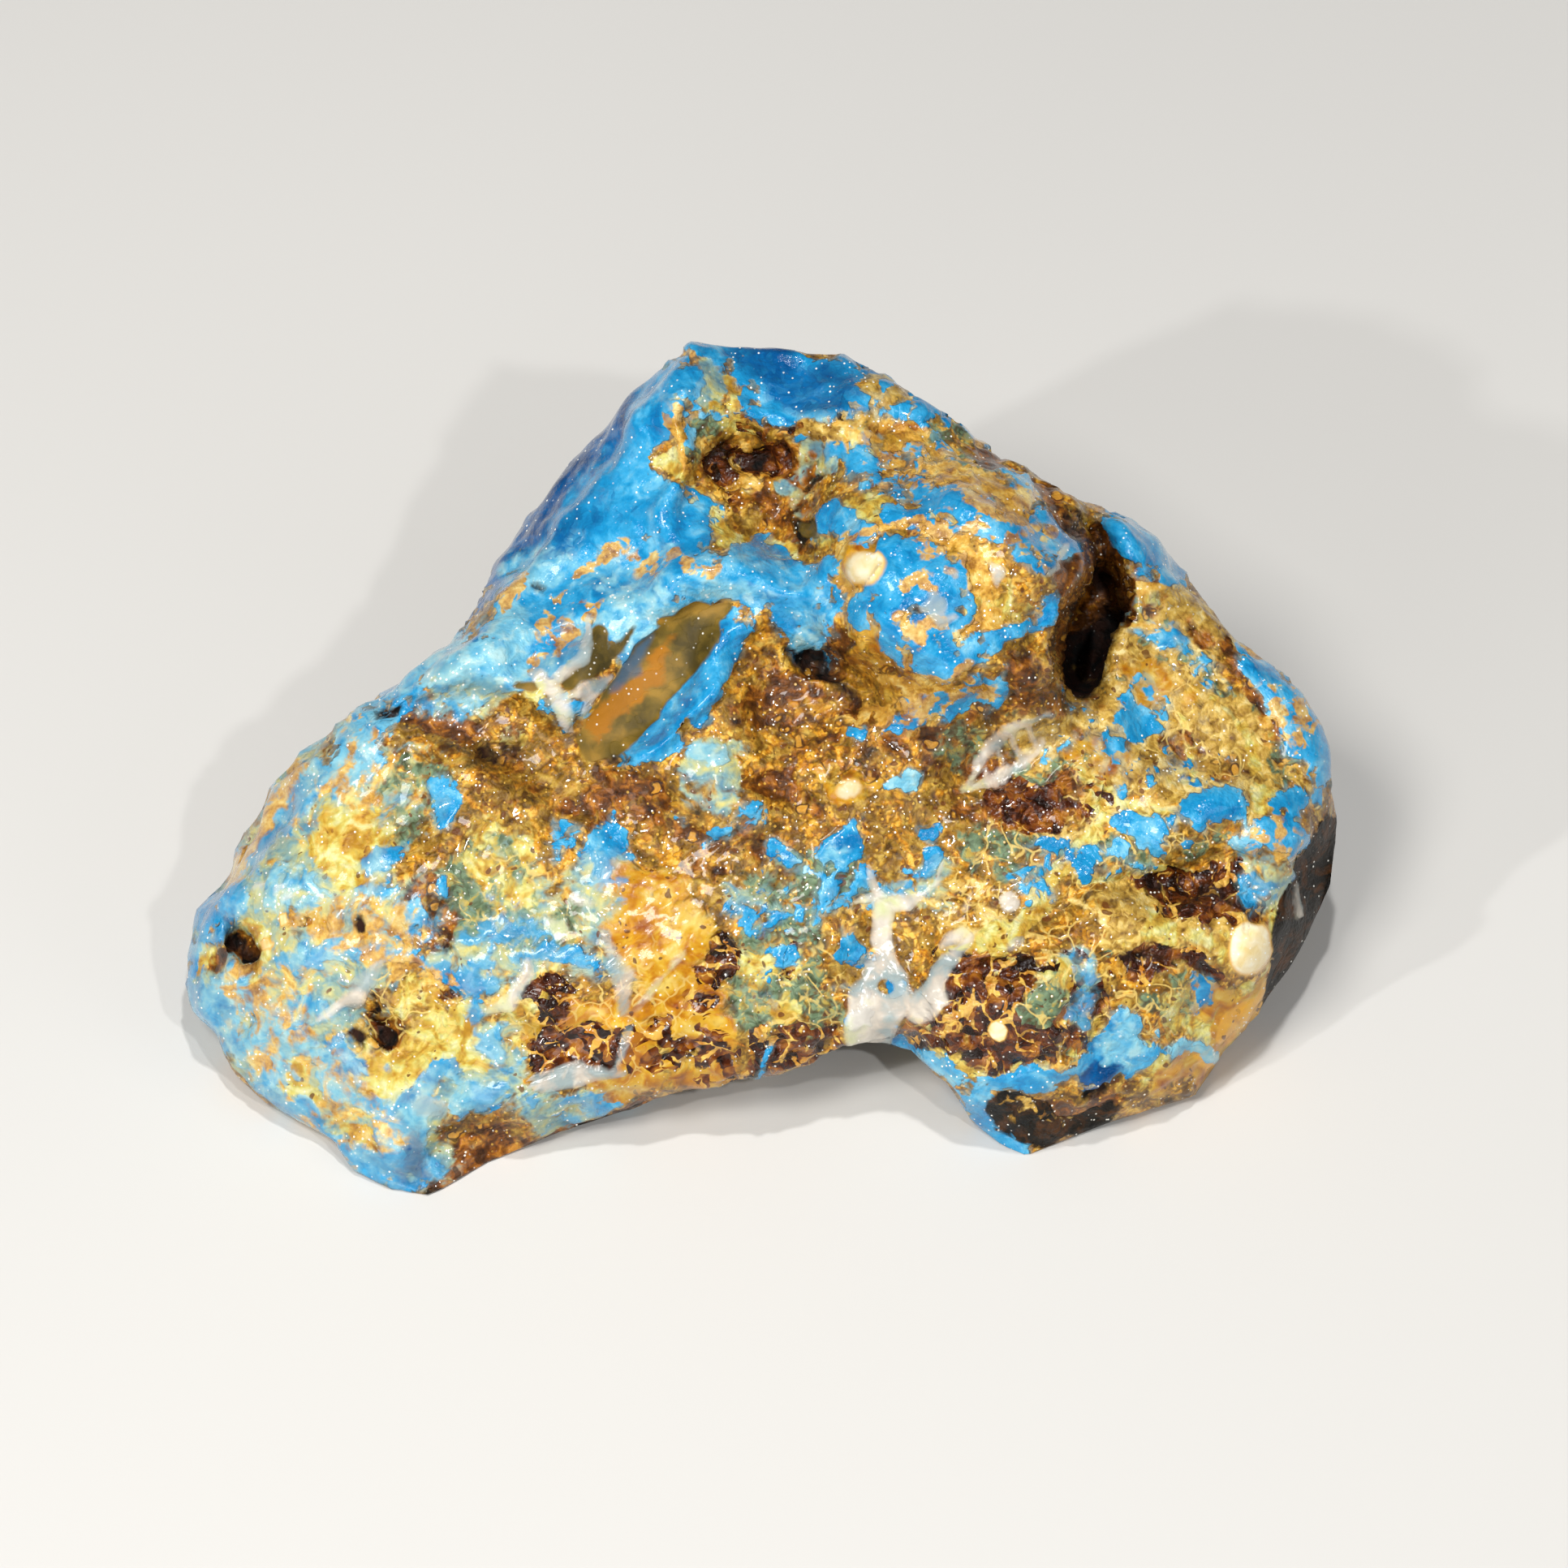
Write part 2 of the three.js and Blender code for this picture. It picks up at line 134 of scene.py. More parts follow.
# %% Planes of the face
# middle right and up, half-width, half-height, turn, depth at the middle, slope right, slope up
FLATS = [
    (-9.6, 15.4, 9.5, 5.2, 56, -1.2, 0.42, -0.10),    # bright slope left of the crest
    (1.5, 24.2, 6.0, 2.2, -6, -3.2, 0.05, -0.85),     # smooth brow behind the bowl
    (10.5, 19.0, 6.5, 3.0, -38, 0.8, -0.10, -0.70),   # shoulder above the knob
    (27.4, 5.6, 9.5, 7.5, -48, -1.6, -0.20, -0.16),   # right slab
    (23.0, -4.0, 9.5, 4.0, -8, 2.2, -0.10, 0.10),     # right middle
    (2.2, 5.2, 4.6, 3.6, -30, 2.0, 0.05, 0.12),       # hollow under the saddle
    (-16.2, 2.2, 5.6, 2.4, -14, 1.2, 0.06, -0.10),    # terrace
    (-25.0, -2.0, 6.0, 4.5, 50, 1.6, 0.12, -0.10),    # shoulder of the left lobe
    (-4.0, -13.0, 11.0, 5.5, 6, 4.2, -0.02, 0.16),    # belly between the lobes
    (8.6, -12.0, 3.6, 5.0, -8, 3.0, 0.10, 0.12),      # flank above the arch
]
# the same numbers, for steep planes that trim whatever stands above them
SIDES = [
    (34.8, -9.0, 4.8, 12.0, -14, -5.6, -2.3, 0.5),    # right side
    (29.0, -19.0, 5.0, 5.0, 0, -1.6, -0.9, 1.0),      # corner of the right foot
    (17.5, -22.3, 7.0, 2.0, 8, -0.6, 0.1, 1.7),       # front of the right foot
    (-12.5, -22.0, 9.0, 2.4, 14, 0.0, -0.2, 1.6),     # front of the left lobe
    (-33.0, -4.5, 7.0, 2.2, 52, -2.6, 1.2, -0.8),     # left shoulder
    (-12.5, 18.2, 11.0, 2.0, 52, -5.6, 1.2, -0.8),    # strip left of the bright slope
]
print(len(FLATS), "flats and", len(SIDES), "trimmed sides")

# %% Lumps and hollows of the face
# middle right and up, half-width, half-height, turn, steepness of the flank, height
LUMPS = [
    (12.0, 11.2, 8.3, 7.2, -24, 2.6, 6.4),     # knob
    (8.6, 9.0, 3.6, 3.0, 20, 1.5, 1.3), (9.5, 12.5, 2.2, 1.6, 0, 1.4, 0.7),
    (15.5, 13.0, 3.6, 2.6, 10, 1.5, 1.1), (13.0, 5.5, 4.0, 2.0, -10, 1.5, 0.8),
    (19.0, -13.0, 10.5, 5.6, 12, 1.7, 2.4),    # lower right lobe
    (15.0, -14.0, 4.4, 3.4, 0, 1.6, 0.9),
    (-24.0, -10.0, 9.0, 8.5, 0, 1.3, 1.7),     # left lobe
    (-24.0, -21.0, 5.0, 3.0, -30, 1.3, 1.3),
    (-3.2, -1.8, 3.4, 2.6, 0, 1.6, 1.3),       # bump in the middle
    (24.8, -3.6, 2.4, 1.3, 15, 1.4, 0.9),      # three beads on the right
    (28.0, -2.2, 1.8, 1.4, 30, 1.4, 0.8), (31.2, -4.4, 2.4, 1.6, 20, 1.4, 0.8),
    (29.8, -11.0, 1.6, 1.9, 0, 1.6, 1.4),      # pearl
    (6.2, 12.0, 1.3, 1.3, 0, 1.6, 0.8),        # honey bead
    (5.3, -1.5, 1.2, 0.8, 0, 1.5, 0.6),
    (-15.5, 8.4, 5.0, 1.6, 22, 1.4, 1.5),      # ridge over the terrace
    (-8.5, 10.6, 5.0, 1.4, 22, 1.4, 1.3),
    (-1.0, 11.6, 6.0, 1.3, -4, 1.4, 1.5),      # saddle ridge
    (-4.0, 4.4, 6.2, 0.95, 50, 1.6, 1.2),      # lip right of the scoop
    (-11.0, 5.8, 3.0, 0.9, 60, 1.4, 0.6),      # shard left of the scoop
    (-5.2, 20.0, 6.0, 0.8, 86, 1.5, 1.2),      # crest of the crag
    (25.0, 13.0, 3.4, 1.6, -50, 1.4, 1.0),     # crown of the slab
    (31.8, 4.4, 5.0, 1.4, -52, 1.4, 1.0),      # rim of the slab
    (8.6, 23.2, 2.6, 1.4, -20, 1.5, 0.8),      # knuckle on the skyline
    (18.9, 10.4, 0.8, 4.6, -16, 1.5, 1.0),     # ridge along the cleft
    (-4.0, 23.6, 1.1, 1.2, 0, 1.5, 0.6),       # milky bead on the crest
    (2.9, 14.9, 1.0, 0.8, 0, 1.5, 0.6),        # pebble at the foot of the bowl
]
# the same numbers, the last one a depth
HOLLOWS = [
    (-0.2, 17.6, 4.6, 4.6, 10, 1.7, 4.2),      # bowl
    (-0.7, 18.7, 2.3, 2.0, -30, 1.2, 1.8), (1.6, 14.8, 2.4, 1.4, 10, 1.4, 1.2),
    (20.7, 10.8, 1.15, 5.8, -4, 1.4, 6.0),     # cleft
    (20.1, 7.6, 1.45, 3.3, -16, 1.5, 8.0),     # hole at its foot
    (-6.6, 5.5, 6.2, 2.6, 50, 1.8, 1.7),       # scoop
    (3.9, 6.2, 2.6, 0.7, -36, 1.6, 1.5),       # crack under the saddle
    (-32.5, -11.0, 1.7, 0.75, -45, 1.6, 3.2),  # cave in the left lobe
    (-22.4, 3.7, 1.8, 0.8, 0, 1.6, 1.0),
    (-10.0, -2.4, 5.0, 3.0, -22, 1.4, 1.7),    # pocket left of the bump
    (1.6, -1.4, 1.8, 1.6, 0, 1.5, 0.8),
    (15.0, 0.2, 4.6, 1.6, 22, 1.6, 1.8),       # pocket below the knob
    (22.0, -7.6, 9.0, 0.9, 12, 1.5, 1.1),      # furrow across the right
    (15.2, -12.2, 5.0, 0.7, 20, 1.5, 0.7),
    (-18.8, -9.2, 1.5, 1.2, 0, 1.5, 1.2),      # pits in the left lobe
    (-13.5, -16.5, 3.0, 1.4, -10, 1.6, 0.9), (-23.5, -15.5, 1.4, 1.0, 0, 1.6, 1.2),
]
print(len(LUMPS), "lumps and", len(HOLLOWS), "hollows")

# %% [markdown]
# ## The depth of the face
# Now the rows act one after another on a gentle dome. Planes come before lumps, so that a lump
# stands on its plane, and the steep sides trim what stuck out too far. Hollows come last, because a
# hole in the real lump cuts through whatever was there.

# %% Depth of the face
def spot(right, up, middle_right, middle_up, half_width, half_height, turn, steepness):
    """Soft ellipse: exp of minus (distance squared in half-sizes) raised to the steepness."""
    angle = np.radians(turn)
    dx, dy = right - middle_right, up - middle_up
    along = (dx * np.cos(angle) + dy * np.sin(angle)) / half_width
    over = (dy * np.cos(angle) - dx * np.sin(angle)) / half_height
    return np.exp(-np.minimum(along * along + over * over, 40.0) ** steepness)


def lower(first, second, fillet):
    """The smaller of two depths, with a fillet of about that radius where they cross."""
    blend = np.clip(0.5 + 0.5 * (second - first) / fillet, 0, 1)
    return second + (first - second) * blend - fillet * blend * (1 - blend)


# the dome's depth at the middle, its half-length and half-height, and how far it falls by there
DOME_TOP, DOME_HALF_LENGTH, DOME_HALF_HEIGHT = 4.4, 36, 27
FALL_SIDEWAYS, FALL_UPWARDS, FALL_DOWNWARDS = 3.4, 6.0, 3.0
# how far the slow and the quick wave push a point to one side
SLOW_WAVE, QUICK_WAVE = 0.45, 0.2
# how steep the edge of a flat and of a trimmed side is, how strong the trim, and its fillet
FLAT_EDGE, TRIM_EDGE, TRIM_STRENGTH, TRIM_FILLET = 2.2, 3.0, 1.4, 0.8


def dome_depth(right, up):
    """The top depth, less two squares: a gentle dome that falls faster upwards than downwards."""
    fall = np.where(up > 0, FALL_UPWARDS, FALL_DOWNWARDS)
    return DOME_TOP - FALL_SIDEWAYS * (right / DOME_HALF_LENGTH) ** 2 - fall * (up / DOME_HALF_HEIGHT) ** 2


def face_depth(right, up):
    """The dome, pulled onto the flats, raised by the lumps, trimmed by the sides, dug by the hollows.

    Every point is first looked up a little to one side, by two sine waves, so no edge runs true.
    """
    right, up = (
        right + SLOW_WAVE * np.sin(0.85 * up + 1.3) + QUICK_WAVE * np.sin(1.3 * up - 0.7 * right + 2.0),
        up + SLOW_WAVE * np.sin(0.8 * right + 0.4) + QUICK_WAVE * np.sin(1.2 * right + 0.9 * up + 1.0),
    )
    depth = dome_depth(right, up)
    for *ellipse, middle, slope_right, slope_up in FLATS:
        plane = middle + slope_right * (right - ellipse[0]) + slope_up * (up - ellipse[1])
        depth = depth + (plane - depth) * spot(right, up, *ellipse, FLAT_EDGE)
    for *ellipse, rise in LUMPS:
        depth = depth + rise * spot(right, up, *ellipse)
    for *ellipse, middle, slope_right, slope_up in SIDES:
        plane = middle + slope_right * (right - ellipse[0]) + slope_up * (up - ellipse[1])
        strength = np.minimum(1, TRIM_STRENGTH * spot(right, up, *ellipse, TRIM_EDGE))
        depth = depth + strength * (lower(depth, plane, TRIM_FILLET) - depth)
    for *ellipse, sink in HOLLOWS:
        depth = depth - sink * spot(right, up, *ellipse)
    return depth


print("knob top at depth", float(face_depth(12.0, 11.2)), "cleft floor at", float(face_depth(20.5, 7.5)))

# %% [markdown]
# ## The hidden side
# A lump like this splits off along a few rough planes, and it has to lie still, so the underside
# is cut flat. The back is the nearest of those planes, softened where they meet, with a few
# swells and dents. Someone will turn the model round, so the back gets the same care.

# %% Back of the lump
# the way a split plane faces: sideways, back and up; then how far it lies from the middle
BACK_PLANES = [
    (-0.1, 1.0, 0.12, 25.5), (0.1, 1.0, -0.4, 21.5), (0.8, 0.65, 0.2, 30.5), (-0.75, 0.7, 0.3, 25.5),
    (0.7, 0.6, -0.5, 28.5), (-0.7, 0.6, -0.5, 28.0), (1.0, 0.05, -0.3, 36.0), (-1.0, 0.1, -0.3, 37.0),
]
# middle right and up, half-width, half-height, turn, steepness, swell (less than 0: a dent)
BACK_RELIEF = [
    (2.0, 14.0, 8.0, 5.0, 15, 1.4, 1.8), (-9.0, 6.0, 5.0, 7.0, -20, 1.5, -1.6),
    (12.0, 7.0, 5.0, 6.0, 30, 1.5, 1.5), (20.0, 2.0, 6.0, 4.0, -30, 1.5, -1.4),
    (-16.0, -2.0, 6.0, 4.0, 40, 1.4, 1.6), (26.0, -4.0, 4.0, 6.0, -10, 1.5, 1.4),
    (-25.0, -8.0, 5.0, 4.0, 30, 1.5, -1.3), (6.0, 21.0, 4.0, 2.4, -10, 1.5, -1.6),
    (-4.0, 20.5, 3.0, 3.4, 10, 1.5, 1.4),
]
# how far the belly would reach below the bench, which is what the flat underside cuts off
CUT_BELOW = 1.6
BACK_FILLET = 2.0
# a plane that faces less backwards than this is seen edge on and bounds nothing
EDGE_ON = -0.02


def back_depth(right, up):
    """The belly below the bench, or the nearest split plane in front of it, plus swells and dents."""
    depth = bench_depth(up, CUT_BELOW)
    for sideways, back, above, distance in BACK_PLANES:
        size = np.sqrt(sideways ** 2 + back ** 2 + above ** 2)
        along_up = (back * SIN + above * COS) / size
        along_depth = (above * SIN - back * COS) / size
        if along_depth < EDGE_ON:
            plane = (distance - sideways / size * right - along_up * up) / along_depth
            depth = -lower(-depth, -plane, BACK_FILLET)
    for *ellipse, swell in BACK_RELIEF:
        depth = depth - swell * spot(right, up, *ellipse)
    return depth


print("thickness behind the knob:", float(face_depth(12.0, 11.0) - back_depth(12.0, 11.0)), "mm")

# %% [markdown]
# ## One closed skin
# Two numbers are enough to name any point of a closed skin. The first is an angle round the hub. The
# second is the share of the way from the face's middle, out over the rim, to the back's middle. So
# face and back are one surface that turns over at the outline, and no seam has to be closed.

# %% Skin of the lump
# the ray's angle is averaged over this fan, in degrees, with these weights
FAN, FAN_WEIGHTS = np.radians([-16, -8, 0, 8, 16]), np.array([1, 2, 3, 2, 1]) / 9
# the face stays at least this far in front of the rim, and the back this far behind it
RIM_STEP = 0.3
# the higher the power, the more sudden the turn at the rim
FACE_TURN, BACK_TURN = 14, 5


def skin(angle, share, depth_of=face_depth):
    """Face coordinates of the skin at an angle and a share of the way from front to back.

    The distance out is the sine of share times pi, so the rim is at one half. Near the rim the
    outline's own corners count, and farther in only its average sweep. Depth leaves the rim as
    the square root of one minus a power of the distance out.
    """
    length, rim = rim_at(angle)
    fan = [rim_at(angle + turn) for turn in FAN]
    sweep = sum(weight * part[0] for weight, part in zip(FAN_WEIGHTS, fan))
    sweep_rim = sum(weight * part[1] for weight, part in zip(FAN_WEIGHTS, fan))
    out = np.sin(share * np.pi)
    corner = out ** 4
    reach = (sweep + (length - sweep) * corner) * out
    edge = sweep_rim + (rim - sweep_rim) * corner
    right, up = HUB[0] + reach * np.cos(angle), HUB[1] + reach * np.sin(angle)
    face = np.maximum(depth_of(right, up), edge + RIM_STEP)
    face = edge + (face - edge) * np.sqrt(np.clip(1 - out ** FACE_TURN, 0, 1))
    back = np.minimum(back_depth(right, up), edge - RIM_STEP)
    back = edge + (back - edge) * np.sqrt(np.clip(1 - out ** BACK_TURN, 0, 1))
    back = np.maximum(back, bench_depth(up))
    return right, up, np.where(share < 0.5, face, back)


length_right, length_up, _ = skin(np.array([0.0, np.pi / 2]), np.array([0.5, 0.5]))
print("rim to the right of the hub", length_right[0].round(1), "and above it", length_up[1].round(1))

# %% [markdown]
# ## An even grid
# A grid of latitude and longitude pinches at its poles. A cube whose six faces are grids, blown
# up to a ball, does not, so its points give us directions. Walking evenly along the plain dome, not
# evenly in angle, keeps neighbouring cells alike in size. The ball leans towards the front, so the
# face gets more of the points than the back.

# %% Grid over the skin
CELLS = 128
LEAN = 0.3


def cube_ball(cells):
    """Points of a cube's six square grids, spread by the tangent and pushed out to a ball, and quads."""
    spread = np.tan(np.linspace(-1, 1, cells + 1) * np.pi / 4)
    first, second = np.meshgrid(np.arange(cells + 1), np.arange(cells + 1), indexing="ij")
    corners = []
    for axis in range(3):
        for side in (0, cells):
            grid = np.empty((cells + 1, cells + 1, 3), int)
            grid[..., axis], grid[..., (axis + 1) % 3], grid[..., (axis + 2) % 3] = side, first, second
            corners.append(grid if side else grid.transpose(1, 0, 2))
    flat = np.concatenate([grid.reshape(-1, 3) for grid in corners])
    code = (flat[:, 0] * (cells + 1) + flat[:, 1]) * (cells + 1) + flat[:, 2]
    _, keep, shared = np.unique(code, return_index=True, return_inverse=True)
    shared = shared.reshape(6, cells + 1, cells + 1)
    quads = np.stack([shared[:, :-1, :-1], shared[:, 1:, :-1], shared[:, 1:, 1:], shared[:, :-1, 1:]], -1)
    points = spread[flat[keep]]
    return points / np.linalg.norm(points, axis=1)[:, None], quads.reshape(-1, 4)


def even_share(angle, share, columns=720, rows=400):
    """Turns a share of the length walked along the dome and back into skin's own share.

    The walk is measured once for a table of angles and looked up between its four nearest entries.
    """
    column_angles = np.linspace(-np.pi, np.pi, columns, endpoint=False)
    row_shares = np.linspace(0, 1, rows)
    line = np.stack(skin(column_angles[:, None] + 0 * row_shares, row_shares + 0 * column_angles[:, None],
                         dome_depth), -1)
    walked = np.concatenate([np.zeros((columns, 1)),
                             np.cumsum(np.linalg.norm(np.diff(line, axis=1), axis=2), 1)], 1)
    walked /= walked[:, -1:]
    table = np.array([np.interp(row_shares, column, row_shares) for column in walked])
    column = (angle + np.pi) / (2 * np.pi) * columns
    row = np.clip(share * (rows - 1), 0, rows - 1.001)
    left, low = np.floor(column).astype(int), np.floor(row).astype(int)
    past_left, past_low = column - left, row - low
    near, far = table[left % columns], table[(left + 1) % columns]
    pick = np.arange(len(low))
    return ((near[pick, low] * (1 - past_low) + near[pick, low + 1] * past_low) * (1 - past_left)
            + (far[pick, low] * (1 - past_low) + far[pick, low + 1] * past_low) * past_left)


directions, quads = cube_ball(CELLS)
directions = directions + np.array([0, 0, LEAN])
directions /= np.linalg.norm(directions, axis=1)[:, None]
angles = np.arctan2(directions[:, 1], directions[:, 0])
shares = even_share(angles, np.arccos(np.clip(directions[:, 2], -1, 1)) / np.pi)
right, up, depth = skin(angles, shares)
points = to_bench(right, up, depth)
points[:, 2] = np.maximum(points[:, 2], 0)
print(len(points), "points,", 2 * len(quads), "triangles")
print("box from", points.min(0).round(2), "to", points.max(0).round(2))

# %% [markdown]
# ## Grain that never repeats
# Resin crust is lumpy at every size. Two patterns give us that anywhere in space: a cloudy one,
# made of random numbers on a lattice blended smoothly, and a cellular one, made of scattered
# points that each own the space nearest to them. Both are worked out for all points at once.

# %% Cloud and cell patterns
def lattice(x, y, z, seed):
    """A steady random number from 0 to 1 for each whole-numbered corner, by mixing the bits."""
    mixed = (x.astype(np.uint32) * np.uint32(73856093)) ^ (y.astype(np.uint32) * np.uint32(19349663))
    mixed ^= (z.astype(np.uint32) * np.uint32(83492791)) ^ np.uint32(seed * 7919 + 13)
    for shift, factor in ((16, 2246822519), (13, 3266489917)):
        mixed = (mixed ^ (mixed >> np.uint32(shift))) * np.uint32(factor)
    return ((mixed ^ (mixed >> np.uint32(16))) & np.uint32(0xFFFFFF)) / float(0x1000000)


# each octave is read this far from the last, so that their lattices never line up
OCTAVE_SHIFT = 17.3
# farther than any nearest point can be, in units of size
FAR_OFF = 9.0


def cloud(place, size, seed, octaves=3):
    """Blended lattice numbers, each octave half the size and half the weight, from -1 to 1."""
    total, weight, scale = 0.0, 0.0, 1.0 / size
    for octave in range(octaves):
        spot_in = place * scale + OCTAVE_SHIFT * octave
        cell = np.floor(spot_in).astype(np.int64)
        part = spot_in - cell
        part = part * part * part * (part * (part * 6 - 15) + 10)
        value = 0.0
        for corner in np.ndindex(2, 2, 2):
            share = np.prod(np.where(corner, part, 1 - part), axis=1)
            value = value + share * lattice(*(cell + corner).T, seed + octave)
        total = total + (2 * value - 1) * 0.5 ** octave
        weight += 0.5 ** octave
        scale *= 2
    return total / weight


def cells(place, size, seed):
    """Distance to the nearest scattered point in units of size, and that point's random number."""
    scaled = place / size
    base = np.floor(scaled).astype(np.int64)
    nearest = np.full(len(place), FAR_OFF)
    owner = np.zeros(len(place))
    for neighbour in np.ndindex(3, 3, 3):
        cell = base + np.array(neighbour) - 1
        offset = np.stack([lattice(*cell.T, seed + k) for k in range(3)], -1)
        distance = np.linalg.norm(cell + offset - scaled, axis=1)
        closer = distance < nearest
        nearest = np.where(closer, distance, nearest)
        owner = np.where(closer, lattice(*cell.T, seed + 9), owner)
    return nearest, owner


print("cloud spread:", cloud(points, 3.0, 1).std().round(3))
print("mean cell distance:", cells(points, 2.0, 5)[0].mean().round(3))
